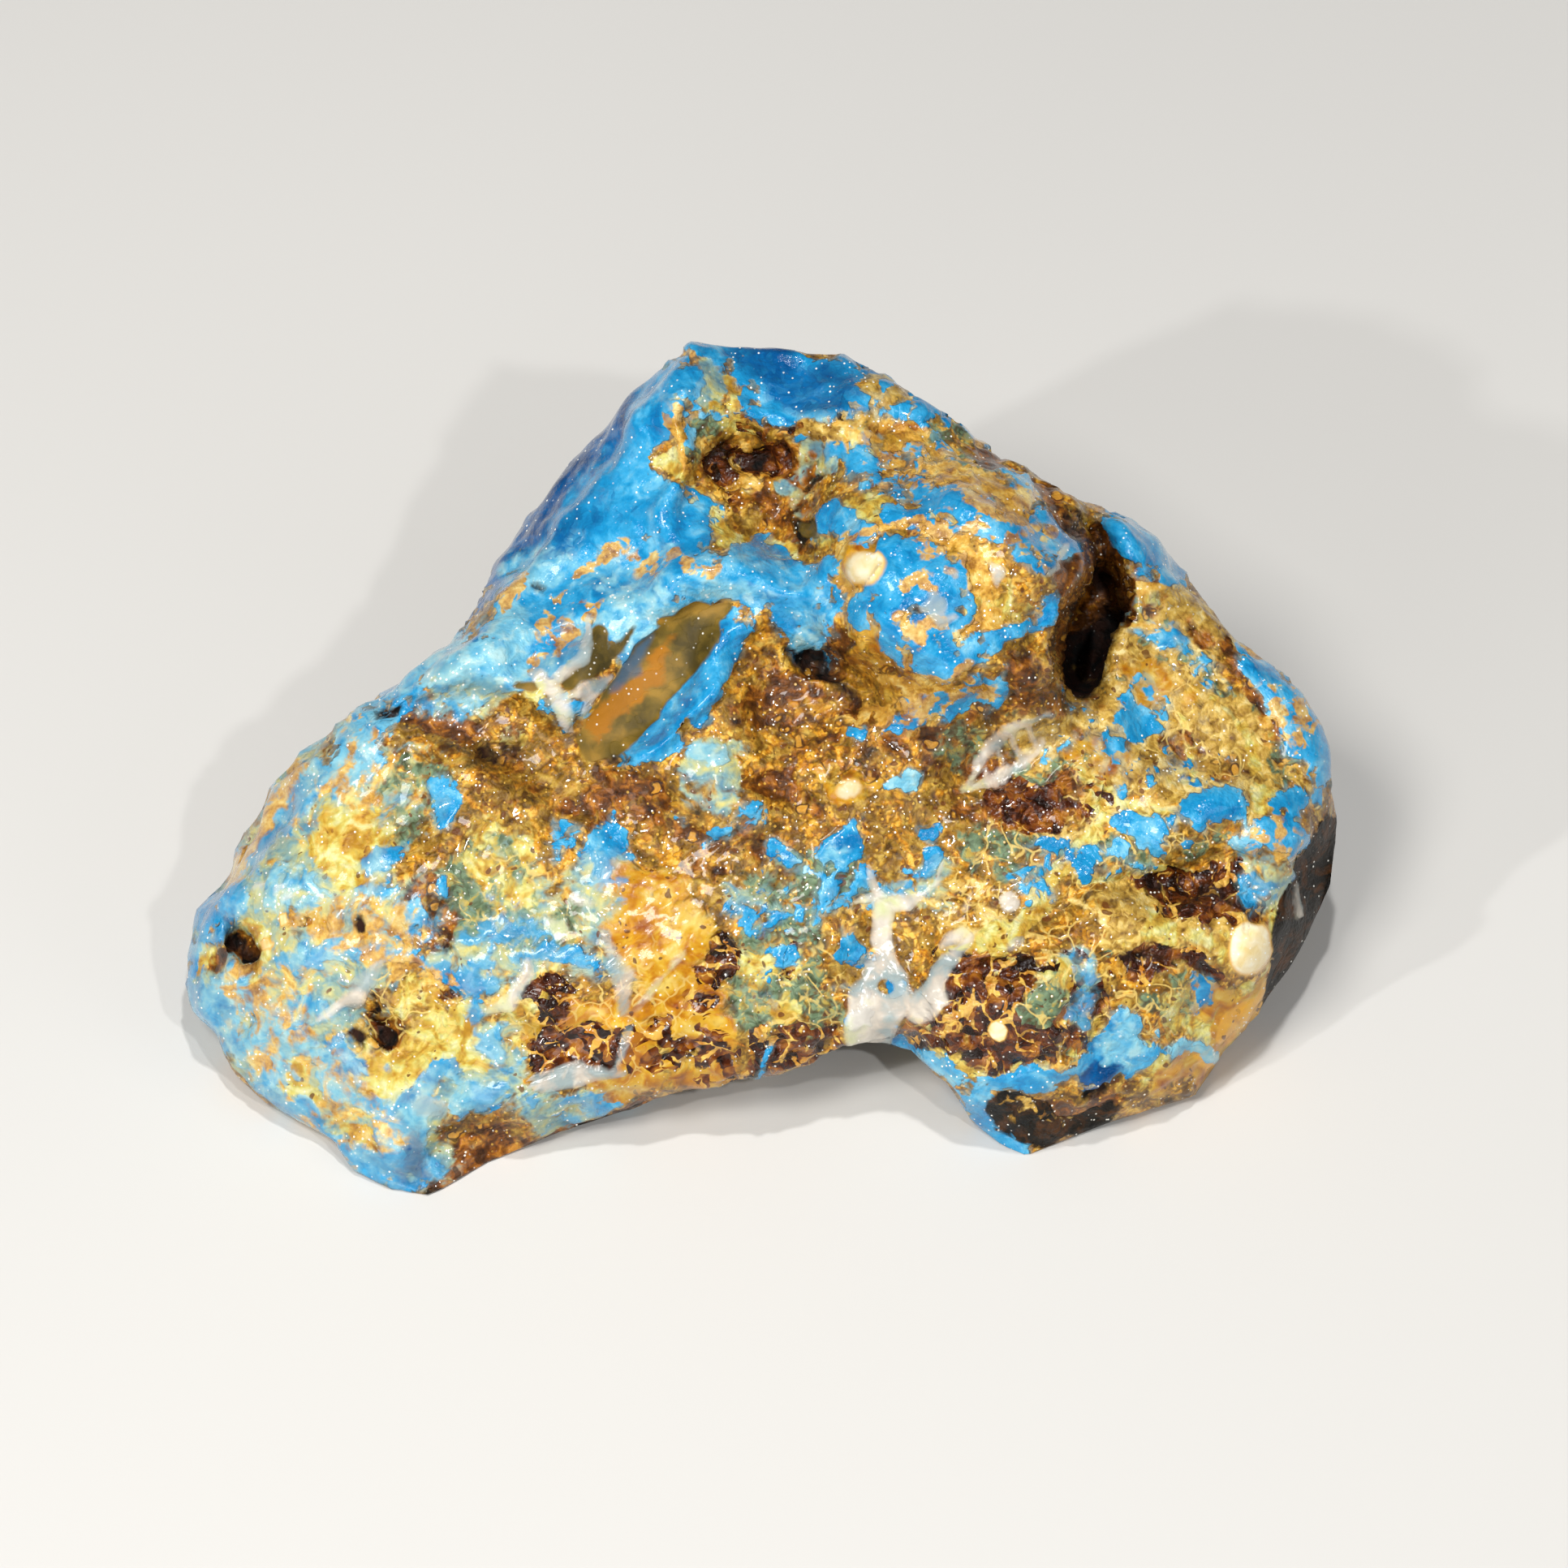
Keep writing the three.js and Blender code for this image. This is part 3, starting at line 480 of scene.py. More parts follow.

# %% [markdown]
# ## Which finish lies where
# Each finish gets a list of soft spots laid on the face, as a painter would block in
# patches: middle, half-sizes, turn and strength. A strength over 1 is solid cover, about a half
# leaves only scattered flakes. The highest spot wins, which gives one smooth field per finish.
# The ragged edges come later, partly on the points and partly in the material, where they can be
# finer than the mesh. The azure film comes first: its deep blue is where it is thick and smooth, and
# on the steep strip left of the bright slope the deep blue also paints that strip's shade. Its pale
# blue is where it is thin over milky resin.

# %% Patches of the blue film
# middle right and up, half-width, half-height, turn, strength
PATCHES = {}
PATCHES["blue"] = [
    (-10.5, 16.5, 8.8, 5.2, 57, 1.3), (-7.0, 21.4, 4.8, 2.2, 70, 1.25),
    (-13.0, 12.0, 6.0, 4.0, 40, 1.2), (-14.5, 7.8, 6.8, 3.0, 22, 1.15), (-8.0, 11.2, 6.0, 3.6, 12, 1.2),
    (-1.6, 11.4, 5.4, 1.9, -6, 1.15), (1.8, 10.4, 2.8, 2.4, -20, 0.95), (2.2, 24.2, 5.0, 2.1, -4, 1.25),
    (0.5, 22.4, 2.6, 1.0, 0, 0.7), (-4.8, 4.9, 5.8, 1.15, 51, 1.25), (-19.5, 6.2, 3.8, 1.7, 38, 0.9),
    (-16.5, 5.4, 4.7, 1.7, 10, 0.85), (-11.4, 3.2, 1.2, 1.8, -30, 0.75),
    (-5.4, 14.8, 1.8, 3.4, 10, 1.05), (-7.0, 8.6, 2.6, 1.2, 45, 0.9),
    # knob
    (3.9, 12.4, 1.2, 1.1, 0, 1.0), (6.0, 14.6, 2.2, 1.1, -10, 1.0), (9.6, 15.8, 1.7, 1.0, 0, 0.95),
    (7.0, 18.3, 1.6, 0.7, 0, 0.85), (9.6, 11.4, 2.5, 2.6, 0, 1.1), (13.0, 14.4, 4.4, 1.2, -4, 0.9),
    (17.0, 14.0, 1.9, 1.9, 0, 1.1), (13.0, 16.6, 1.8, 1.0, -30, 0.85), (7.8, 8.7, 2.2, 1.6, -15, 1.0),
    (11.3, 7.0, 2.8, 1.3, -10, 1.15), (14.4, 8.0, 2.0, 1.3, 20, 1.05), (16.4, 9.2, 1.7, 1.2, 0, 1.0),
    (10.6, 3.2, 3.2, 1.0, 0, 0.85), (13.9, 3.9, 1.0, 2.0, -10, 1.0), (9.4, 22.2, 1.8, 0.9, -20, 0.8),
    (5.0, 9.8, 1.4, 1.0, 0, 0.8), (10.7, 9.2, 1.9, 1.4, 0, 1.0), (9.0, 17.4, 5.0, 2.0, -20, 0.6),
    # left lobe
    (-30.0, -2.6, 5.8, 1.5, 49, 1.05), (-24.5, 1.4, 4.2, 2.0, 30, 0.95),
    (-21.5, 5.0, 3.2, 1.6, 35, 0.95), (-34.3, -9.5, 1.4, 3.2, -10, 1.1),
    (-34.2, -14.5, 1.8, 3.4, 10, 1.1), (-31.4, -14.4, 2.6, 3.0, 20, 0.8),
    (-31.0, -18.2, 3.0, 2.0, -40, 0.85), (-28.5, -21.8, 3.6, 1.2, -38, 1.0),
    (-24.6, -24.2, 2.2, 1.7, -30, 1.0), (-22.4, -22.0, 2.2, 3.4, 20, 1.05),
    (-20.5, -20.0, 2.0, 1.2, 10, 0.9), (-18.6, -21.3, 2.6, 1.4, 10, 0.75),
    (-26.6, -18.6, 2.4, 1.8, -20, 0.72), (-23.2, -5.2, 1.3, 1.0, 20, 1.0),
    (-20.5, -2.6, 0.95, 1.7, 10, 1.0), (-9.5, -5.8, 1.1, 2.9, 5, 0.95), (-11.9, -4.6, 1.0, 1.3, 0, 0.9),
    (-23.0, -11.6, 3.8, 1.2, -8, 0.9), (-17.8, -12.4, 2.4, 1.6, -20, 0.9),
    (-27.5, -11.6, 2.2, 1.4, 10, 0.8), (-29.0, -7.4, 2.8, 1.5, 20, 0.62),
    (-16.8, -16.4, 1.6, 2.8, 10, 0.75), (-12.8, -11.6, 2.8, 1.1, -8, 0.85),
    (-23.0, -8.4, 4.4, 2.6, 0, 0.56), (-11.5, -20.2, 3.4, 0.6, 8, 0.8),
    (-29.0, -16.4, 3.4, 2.8, 0, 0.66), (-15.6, -9.6, 3.0, 1.6, 0, 0.6),
    # middle
    (-3.4, 0.8, 2.2, 1.5, 10, 0.72), (-3.0, -3.4, 2.2, 1.4, 0, 0.55), (4.6, -4.5, 1.7, 1.6, 30, 1.0),
    (9.5, -6.1, 1.0, 1.1, 0, 1.25), (7.6, -0.8, 1.0, 0.8, 20, 1.0), (10.0, -4.0, 1.0, 0.9, 0, 0.85),
    (-1.0, -8.6, 3.6, 0.7, 2, 0.62), (1.0, -5.6, 1.6, 0.9, 0, 0.72), (7.2, -13.5, 0.75, 0.6, 0, 1.3),
    (5.4, -12.0, 0.8, 1.2, 0, 0.85), (5.6, -15.6, 1.2, 1.6, 0, 0.72), (4.4, -7.6, 5.0, 3.0, 0, 0.5),
    (1.4, -11.0, 3.0, 3.6, 0, 0.3), (0.6, -18.0, 0.6, 1.0, 0, 0.8), (6.0, 2.6, 1.0, 0.7, 0, 0.95),
    (1.9, 20.0, 1.0, 0.5, 0, 0.9), (3.6, 18.4, 1.2, 0.6, 10, 0.75), (12.5, 19.2, 1.7, 0.6, -35, 0.8),
    (15.8, 17.2, 1.5, 0.6, -30, 0.8), (10.6, 20.8, 1.3, 0.6, -30, 0.85), (7.4, 20.6, 0.9, 0.5, 0, 0.8),
    # right
    (22.4, 3.2, 1.0, 1.6, 20, 1.2), (24.2, -4.5, 1.9, 1.25, 15, 1.2), (27.5, -3.0, 1.6, 1.5, 30, 1.2),
    (32.0, -4.1, 2.2, 1.3, 20, 1.2), (29.5, -5.3, 1.5, 1.0, 0, 0.85), (32.6, 3.8, 5.2, 1.6, -52, 1.2),
    (34.3, -0.2, 1.8, 2.0, 0, 0.95), (33.0, -1.8, 1.8, 1.0, 0, 0.75), (23.6, 14.2, 2.8, 1.4, -45, 1.15),
    (25.2, 11.8, 1.4, 1.0, 0, 0.85), (19.7, -6.2, 1.6, 1.1, 10, 1.0), (22.6, -6.1, 0.7, 0.8, 0, 0.95),
    (17.6, -5.3, 1.6, 1.0, 0, 0.8), (21.6, -17.9, 2.7, 1.8, 35, 1.25), (26.5, -17.2, 1.8, 1.1, 20, 0.9),
    (15.5, -19.6, 3.6, 1.1, 3, 1.15), (10.6, -18.2, 2.6, 1.0, -48, 1.15),
    (14.0, -22.0, 3.4, 1.5, -48, 1.2), (19.0, -13.6, 1.1, 2.2, 15, 0.85),
    (22.5, 1.5, 7.0, 4.0, -20, 0.26), (25.5, 7.0, 4.0, 1.6, -48, 0.36), (20.0, -6.6, 6.0, 1.2, 6, 0.5),
    (30.5, -7.6, 2.0, 1.2, 0, 0.55), (27.4, -13.4, 1.6, 1.0, 0, 0.5), (-3.4, 25.5, 2.2, 0.9, -15, 1.0),
]
PATCHES["deep"] = [
    # the first spot darkens the steep strip left of the bright slope: painted shade
    (-12.9, 17.9, 11.5, 1.7, 53, 1.0), (2.4, 24.3, 5.0, 2.0, -4, 0.72),
    (-10.5, 17.0, 6.0, 3.0, 55, 0.45), (13.0, 14.0, 7.0, 4.0, 0, 0.35),
    (20.2, -18.8, 0.7, 1.0, -40, 1.0), (-21.8, -22.4, 1.0, 2.6, 10, 0.7),
]
PATCHES["pale"] = [
    (-18.0, 6.6, 4.2, 2.4, 30, 0.9), (-13.0, 12.6, 3.6, 2.0, 40, 0.7), (-26.0, 0.6, 5.0, 2.8, 30, 0.8),
    (-31.5, -15.5, 3.0, 4.0, 0, 0.6), (-3.4, 0.6, 2.8, 1.9, 0, 0.9), (3.0, -5.0, 2.4, 1.6, 0, 0.5),
    (-20.0, -21.4, 2.8, 1.8, 0, 0.9), (-5.0, 12.5, 6.0, 1.6, 10, 0.44), (29.5, -5.2, 1.9, 1.2, 0, 0.8),
    (-27.0, -9.0, 5.0, 4.0, 0, 0.6), (-28.5, -18.0, 4.0, 3.0, 0, 0.5), (7.6, -0.8, 1.2, 1.0, 0, 0.7),
    (-9.0, 9.4, 5.0, 1.4, 30, 0.52), (2.4, 9.6, 1.4, 1.6, 0, 0.5), (22.0, -17.4, 3.0, 1.8, 30, 0.62),
    (26.5, -17.2, 2.0, 1.2, 20, 0.9), (-2.0, 10.8, 5.0, 1.2, 0, 0.5),
    (11.0, -19.0, 2.0, 1.4, -45, 0.55),
]
print(sum(map(len, PATCHES.values())), "spots of the blue film")

# %% [markdown]
# ## Milky resin and coloured crust
# Under the film lies milky, half clear resin on the left lobe, and over it a crust that weathered
# to teal, sand and yellow. They share their edges, so their spots are laid down to overlap, and the
# order of the layers in the material decides which one shows.

# %% Patches of milky resin and crust
PATCHES["milk"] = [
    (-27.5, -4.0, 7.5, 5.5, 50, 1.1), (-30.5, -13.5, 5.5, 7.5, 0, 1.1),
    (-24.0, -20.5, 7.0, 4.5, -25, 1.05), (-24.0, -10.5, 7.5, 4.0, 0, 0.8),
    (-16.0, -10.0, 5.0, 4.5, 0, 0.85), (-17.5, -18.0, 3.0, 4.5, 0, 0.95),
    (-3.3, 0.4, 2.9, 2.2, 10, 1.0), (0.5, -8.6, 5.0, 1.2, 0, 0.5), (-15.5, 5.2, 7.5, 1.8, 20, 0.9),
    (-9.4, -9.0, 2.6, 3.4, 10, 0.75), (29.0, -16.0, 2.6, 2.2, 20, 0.65),
    (6.2, 21.6, 3.6, 1.6, -10, 0.7), (18.8, -13.6, 1.6, 3.0, 15, 0.75), (31.0, -6.8, 2.4, 1.4, 0, 0.9),
    (24.6, 9.4, 3.8, 1.7, -48, 0.75), (-12.5, -20.6, 5.0, 1.2, 8, 0.9), (9.5, -7.4, 2.2, 1.6, 0, 0.6),
    (-3.9, 23.6, 1.3, 1.3, 0, 1.2), (2.6, 17.8, 1.9, 1.7, 20, 1.0),
]
PATCHES["teal"] = [
    (0.6, -11.8, 3.6, 4.8, 10, 1.0), (4.4, -6.6, 3.6, 2.0, 0, 1.0), (-16.2, -7.6, 3.8, 3.2, -20, 0.8),
    (-13.5, -9.5, 2.4, 2.0, 0, 0.9), (16.4, -13.8, 1.8, 1.8, 20, 1.1), (20.5, 3.0, 3.6, 2.8, 30, 0.75),
    (24.5, 7.5, 3.6, 2.2, -48, 0.7), (-3.4, 21.0, 1.0, 1.9, 8, 1.3), (2.4, 15.6, 2.2, 2.2, 0, 0.5),
    (21.5, -5.8, 6.0, 1.3, 4, 0.8), (-20.8, -9.0, 1.8, 1.8, 0, 0.7), (32.0, 1.3, 1.6, 1.8, 0, 0.8),
    (15.0, -5.0, 3.6, 1.8, 10, 0.7), (-22.0, -2.0, 3.4, 2.4, 0, 0.6), (11.0, 1.0, 2.6, 1.0, 0, 0.75),
    (26.4, -13.9, 3.0, 1.3, 10, 0.7), (8.0, 22.5, 3.4, 1.9, -20, 0.65),
    (18.6, -16.0, 1.6, 2.6, 10, 0.8), (20.4, -10.0, 1.2, 1.0, 0, 0.9), (16.5, 0.4, 3.6, 1.8, -10, 0.6),
    (3.0, -14.6, 2.0, 2.4, 0, 0.9), (-8.0, 6.8, 1.2, 1.0, 30, 0.9), (29.0, 1.0, 2.4, 3.6, -30, 0.6),
    (11.8, 19.6, 3.6, 1.7, -36, 0.85), (27.0, 4.4, 2.0, 1.4, 0, 0.8),
]
PATCHES["sand"] = [
    (3.6, 20.6, 2.6, 1.3, -20, 1.2), (24.5, 1.5, 9.0, 5.0, -15, 1.0), (23.0, 7.0, 3.2, 4.0, -45, 0.9),
    (26.5, 9.5, 3.4, 2.4, -48, 0.8), (24.4, -9.8, 5.2, 1.8, -8, 1.4), (7.5, 22.6, 3.2, 1.9, -15, 1.0),
    (18.6, 2.8, 3.4, 2.0, 20, 0.85), (-22.5, -18.0, 5.0, 3.0, 0, 0.5), (12.0, -8.2, 3.4, 1.8, 0, 0.6),
    (20.0, -3.0, 6.0, 2.6, 0, 0.6), (29.0, -16.4, 2.4, 2.0, 30, 0.6), (3.8, 20.4, 2.4, 1.7, -20, 1.05),
]
PATCHES["yellow"] = [
    (-13.2, 4.6, 1.5, 1.5, 0, 1.2), (24.8, -9.9, 3.8, 1.1, -8, 1.0), (-25.2, -4.6, 2.8, 3.6, 20, 0.95),
    (-20.5, -17.4, 4.4, 2.4, 8, 1.1), (-19.5, -14.4, 3.2, 1.6, 0, 0.85), (-4.3, 18.8, 0.7, 1.4, 5, 1.0),
    (-1.6, 22.6, 1.8, 0.6, -45, 1.0), (-28.4, -20.2, 2.2, 1.0, -35, 0.95),
    (27.6, -14.6, 3.6, 1.7, 12, 1.0), (30.6, -12.2, 0.8, 3.2, -8, 1.1), (31.0, -1.8, 1.7, 1.0, 0, 1.0),
    (14.0, -18.4, 3.0, 0.7, -8, 1.1), (23.6, -18.8, 2.2, 1.3, 30, 1.0),
    (-24.3, -22.6, 1.4, 0.6, -10, 0.9), (11.8, 16.0, 2.2, 1.6, -10, 0.85),
    (7.6, 19.9, 2.8, 1.4, 0, 0.65), (24.0, 9.8, 1.5, 0.9, 0, 0.9), (-15.4, 1.0, 0.9, 0.8, 0, 1.1),
    (20.0, -17.0, 0.8, 1.6, 0, 0.7), (-1.0, -12.0, 1.2, 1.6, 0, 0.8),
    (-14.5, -7.2, 1.6, 2.4, -20, 0.75), (13.0, 10.5, 2.0, 2.2, 0, 0.66),
    (-16.6, -5.4, 2.4, 1.6, -30, 0.65), (22.5, -2.6, 5.0, 2.2, -10, 0.56),
    (1.6, -13.4, 1.4, 1.8, 0, 0.7), (-14.6, -15.4, 0.9, 2.8, -20, 0.8), (7.0, 15.9, 1.6, 0.8, 0, 0.7),
]
print(sum(map(len, PATCHES.values())), "spots so far")

# %% [markdown]
# ## Honey, brown, dark places and painted shade
# Where the crust broke away you see honey-coloured resin, and brown where it is stained; brown also
# paints the shade on the knob's wall by the cleft, in the bowl's hole and on the fronts of the lobes.
# The pockets are dark cells with pale walls between them. The dark finish paints the shade of the
# steep right side and of the feet's fronts. Pale veils, of which a few spots paint clusters of
# highlights, pearly beads, black that paints the shade deep in the hollows, fine veins and rusty
# flakes come last. The clear windows have no spots at all: they are drawn as lines below.

# %% Patches of honey, brown, dark places and painted shade
PATCHES["honey"] = [
    (-6.2, -10.8, 3.2, 4.4, 15, 1.08), (-8.5, -16.0, 6.6, 2.8, 8, 1.05),
    (-3.8, -15.4, 3.0, 3.4, 0, 1.05), (26.0, -19.8, 2.8, 1.2, 22, 1.2),
    (30.0, -14.6, 1.3, 3.8, -28, 1.45), (27.8, -17.8, 1.8, 1.3, 20, 1.4),
    (28.2, -13.8, 2.4, 1.2, -10, 1.0), (24.0, 4.6, 2.2, 1.6, -20, 0.7), (20.2, 0.6, 2.0, 1.2, 10, 0.66),
    (-28.0, -9.3, 1.5, 1.1, 0, 0.8), (-19.6, -13.8, 1.5, 1.1, 0, 0.8), (-5.4, 21.6, 0.6, 0.8, 0, 0.9),
    (-6.8, -18.9, 3.2, 1.0, 8, 1.0), (6.3, 12.1, 2.2, 1.9, 0, 1.15), (-7.4, -7.6, 2.6, 1.4, -10, 0.9),
    (5.2, -1.4, 1.5, 1.0, 0, 1.1), (6.0, 6.8, 6.0, 4.0, -30, 0.5),
]
# brown stains; the spots along the knob's wall by the cleft, in the bowl's hole and on the fronts of the
# lobes and feet also paint their shade
PATCHES["brown_stain_and_shade"] = [
    (-20.5, 2.6, 3.8, 1.2, -8, 1.0), (-15.5, 2.0, 3.6, 1.3, -8, 0.5), (1.0, 4.8, 3.6, 2.4, -20, 0.75),
    (-8.6, -2.4, 3.6, 2.4, -10, 0.78), (1.3, -1.0, 1.9, 1.4, 0, 0.95), (-4.0, -4.0, 3.0, 1.1, 0, 0.8),
    (2.6, 16.4, 1.9, 2.2, 10, 0.6), (1.8, 14.6, 2.4, 1.2, 0, 0.85), (-20.6, -8.8, 2.2, 1.9, 0, 0.95),
    (13.2, -3.0, 2.6, 1.4, 0, 0.7), (17.5, -2.2, 2.8, 1.5, -20, 0.85), (-0.9, 18.9, 2.1, 1.7, -30, 0.9),
    (-0.8, 16.2, 2.0, 1.4, 0, 0.6), (29.9, 4.8, 4.6, 1.1, -57, 1.1), (18.9, 11.0, 1.5, 7.0, 5, 1.2),
    (15.2, -0.9, 1.3, 1.0, 0, 1.3), (16.6, 4.0, 2.6, 2.2, -20, 0.95), (1.3, 21.5, 1.8, 0.8, -5, 0.85),
    (-11.0, -21.9, 5.0, 1.2, 12, 0.95), (-24.7, -22.9, 0.7, 0.4, 0, 1.1),
    (-18.0, -24.7, 4.0, 1.5, 8, 0.9), (18.5, -22.0, 4.2, 1.5, 8, 0.8),
    (26.0, -11.9, 3.8, 0.8, -8, 0.85), (8.0, 3.0, 8.0, 5.0, 0, 0.5), (-3.0, -6.0, 4.0, 1.6, 0, 0.55),
    (-17.0, -1.0, 4.6, 3.0, -10, 0.4), (21.4, 12.6, 1.1, 2.6, 0, 1.3), (28.4, 0.4, 2.0, 1.0, 0, 0.65),
    (23.8, 10.6, 2.6, 1.4, -40, 0.6), (-25.0, -9.3, 0.7, 0.7, 0, 1.0),
    (-32.5, -10.9, 1.5, 0.9, -45, 1.3), (15.0, 18.4, 2.6, 0.9, -32, 0.9),
    (17.6, 16.2, 1.6, 1.0, -35, 0.95), (8.4, 21.2, 1.6, 0.8, -20, 0.75), (0.6, 15.6, 1.6, 0.9, 0, 0.9),
    (-28.2, -9.3, 0.7, 0.6, 0, 1.1), (-19.6, -13.8, 0.8, 0.6, 0, 1.1), (25.5, 0.5, 2.4, 1.0, -20, 0.62),
    (-23.3, -15.8, 1.7, 1.9, 0, 0.85), (3.0, 7.8, 2.4, 1.4, 0, 0.85),
]
PATCHES["glass"] = []
# near-black that paints the shade of the steep right side and of the feet's down-turned fronts; the last
# two spots are dark resin in the bowl
PATCHES["dark"] = [
    (33.8, -10.2, 2.5, 7.4, -16, 1.4), (16.4, -21.9, 2.8, 1.4, -24, 1.2),
    (19.8, -22.3, 2.8, 0.9, 10, 1.1), (-18.0, -25.6, 4.0, 1.0, 8, 0.75),
    (-10.5, -22.3, 5.0, 0.9, 12, 0.8), (2.7, 15.0, 1.2, 0.9, 10, 0.95), (3.2, 17.2, 0.8, 0.5, 30, 0.6),
]
PATCHES["cell"] = [
    (-11.0, -17.2, 3.0, 1.4, 8, 1.3), (-12.9, -14.5, 1.6, 1.3, 0, 0.95),
    (-3.1, -11.3, 1.3, 0.9, 0, 1.2), (-3.7, -13.7, 1.8, 1.2, -20, 1.2),
    (-6.4, -16.5, 1.5, 1.3, 0, 0.85), (-2.7, -17.4, 0.9, 1.6, 0, 1.05), (-5.0, -17.4, 4.6, 1.4, 6, 0.6),
    (1.4, -17.1, 2.8, 1.7, 6, 1.0), (1.4, -12.4, 0.9, 1.2, 0, 0.9), (14.6, -14.8, 5.0, 4.0, -18, 1.2),
    (19.5, -15.0, 1.9, 3.4, 20, 0.75), (25.0, -11.8, 4.2, 1.0, -6, 0.9),
    (15.8, -1.8, 3.2, 1.8, -30, 1.0), (27.4, -7.9, 4.2, 1.1, -4, 1.1),
    (-20.8, -9.4, 1.6, 0.9, -20, 0.7), (-19.0, -13.6, 1.0, 0.7, 0, 1.0),
    (-23.6, -15.7, 1.4, 1.0, -30, 0.6), (-1.0, 18.8, 1.3, 1.7, -15, 1.2),
    (-2.4, 17.0, 0.7, 0.8, 0, 0.95), (-1.0, 21.3, 0.6, 0.45, 0, 1.0), (1.3, 21.0, 0.6, 0.45, 20, 1.0),
    (2.8, 21.3, 0.5, 0.4, 20, 1.0), (5.7, 22.4, 0.6, 0.45, 0, 0.95), (9.6, -17.0, 1.4, 1.0, -30, 0.9),
    (20.6, -2.0, 2.6, 1.8, 0, 0.6),
]
PATCHES["veil_and_sheen"] = [
    (-20.4, -20.9, 1.6, 1.0, -30, 0.62), (-12.5, -9.8, 0.8, 0.8, 20, 0.9),
    # the two spots on the left lobe, at -30.9 and -29.2, paint clusters of highlights in the veil's pale
    # colour
    (15.0, -8.1, 0.75, 0.7, 0, 1.0), (-30.9, -7.3, 1.0, 0.5, 10, 0.62), (-29.2, -7.7, 1.0, 0.6, 0, 0.6),
    (-11.2, -8.2, 1.4, 0.7, -20, 0.6), (10.4, 9.4, 0.6, 1.0, -20, 0.8),
    (15.4, -10.4, 1.0, 0.6, 30, 0.6),
]
PATCHES["pearl"] = [
    (-30.5, -10.9, 0.7, 0.6, 0, 0.8), (-29.4, -9.3, 0.5, 0.5, 0, 0.8), (29.9, -10.9, 1.4, 1.8, 0, 1.3),
    (14.4, -16.1, 0.6, 0.65, 0, 1.2), (6.3, 12.1, 1.4, 1.2, 0, 1.0), (5.2, -1.4, 0.9, 0.6, 0, 0.9),
]
# black paints the shade deep in the cleft, the hole at its foot, the cave, the pits and the bowl's hole; a
# few spots are small dark marks
PATCHES["black_and_hollow_shade"] = [
    (20.3, 7.6, 1.3, 3.3, -15, 1.2), (20.9, 12.6, 0.5, 2.0, -5, 0.8), (4.9, 5.4, 1.3, 0.4, -50, 0.6),
    (-33.0, -10.5, 0.75, 0.5, -40, 1.15), (-22.6, 2.9, 1.0, 0.6, 0, 0.8),
    (-19.4, -10.7, 0.6, 0.5, -30, 0.75), (-23.2, -16.0, 0.7, 0.5, -20, 0.9),
    (-24.9, -16.9, 0.5, 0.6, 0, 0.8), (-23.9, -14.6, 0.4, 0.5, 0, 0.8),
    (-24.9, -9.2, 0.45, 0.4, 0, 0.9), (-9.1, 0.4, 0.9, 0.4, 0, 0.75), (19.4, 15.2, 0.8, 1.2, 0, 0.7),
    (20.2, -20.0, 0.7, 0.6, -45, 0.8), (-0.8, 18.7, 0.7, 0.8, -20, 0.7), (-16.5, 0.4, 3.0, 1.4, 0, 0.5),
    (-31.8, -11.8, 0.6, 0.5, -30, 1.2), (-32.4, -11.2, 0.5, 0.4, -45, 0.9),
]
PATCHES["vein"] = [
    (21.0, -4.0, 9.0, 3.4, 10, 1.0), (18.0, -13.5, 9.0, 6.0, 10, 1.0), (-9.0, -15.0, 8.0, 4.6, 6, 0.9),
    (26.0, 2.0, 6.0, 4.0, -30, 0.6), (-15.5, -7.5, 4.0, 3.4, -20, 0.6),
    (-22.0, -15.0, 4.0, 3.0, 0, 0.8), (2.0, -14.0, 5.0, 4.0, 0, 0.62), (13.0, -7.5, 4.0, 3.0, 0, 0.7),
]
PATCHES["rust"] = [
    (-30.0, -15.0, 4.5, 5.5, 0, 0.5), (-24.5, -9.4, 6.0, 2.6, 0, 0.62), (-26.0, -2.0, 5.0, 3.6, 50, 0.5),
    (-26.0, -20.5, 5.0, 3.0, -30, 0.52), (-22.0, -12.4, 4.4, 1.0, -8, 0.6), (32.5, 3.0, 3.4, 2.4, -52, 0.5),
    (13.5, 13.5, 4.5, 3.5, 0, 0.5), (8.0, 20.0, 4.5, 2.4, -30, 0.55), (10.0, 4.4, 5.0, 2.0, 0, 0.6),
    (31.0, -4.4, 3.4, 2.0, 0, 0.45), (17.5, -22.0, 3.6, 1.0, -10, 0.5), (12.0, 18.8, 4.0, 1.6, -34, 0.6),
    (-5.0, 12.6, 3.0, 1.0, 10, 0.45), (-12.0, 9.0, 5.0, 1.4, 30, 0.42),
]
print(len(PATCHES), "finishes,", sum(map(len, PATCHES.values())), "spots in all")

# %% [markdown]
# ## Finishes drawn as lines
# A spot can't make a long thin shape. The scoop, the yellow ribs, the rusty flakes along an edge, the
# torn veils and the cracks are lines through a few corners, each corner with its own half-width. A
# curve would look smoother, but its ends would be harder to place.

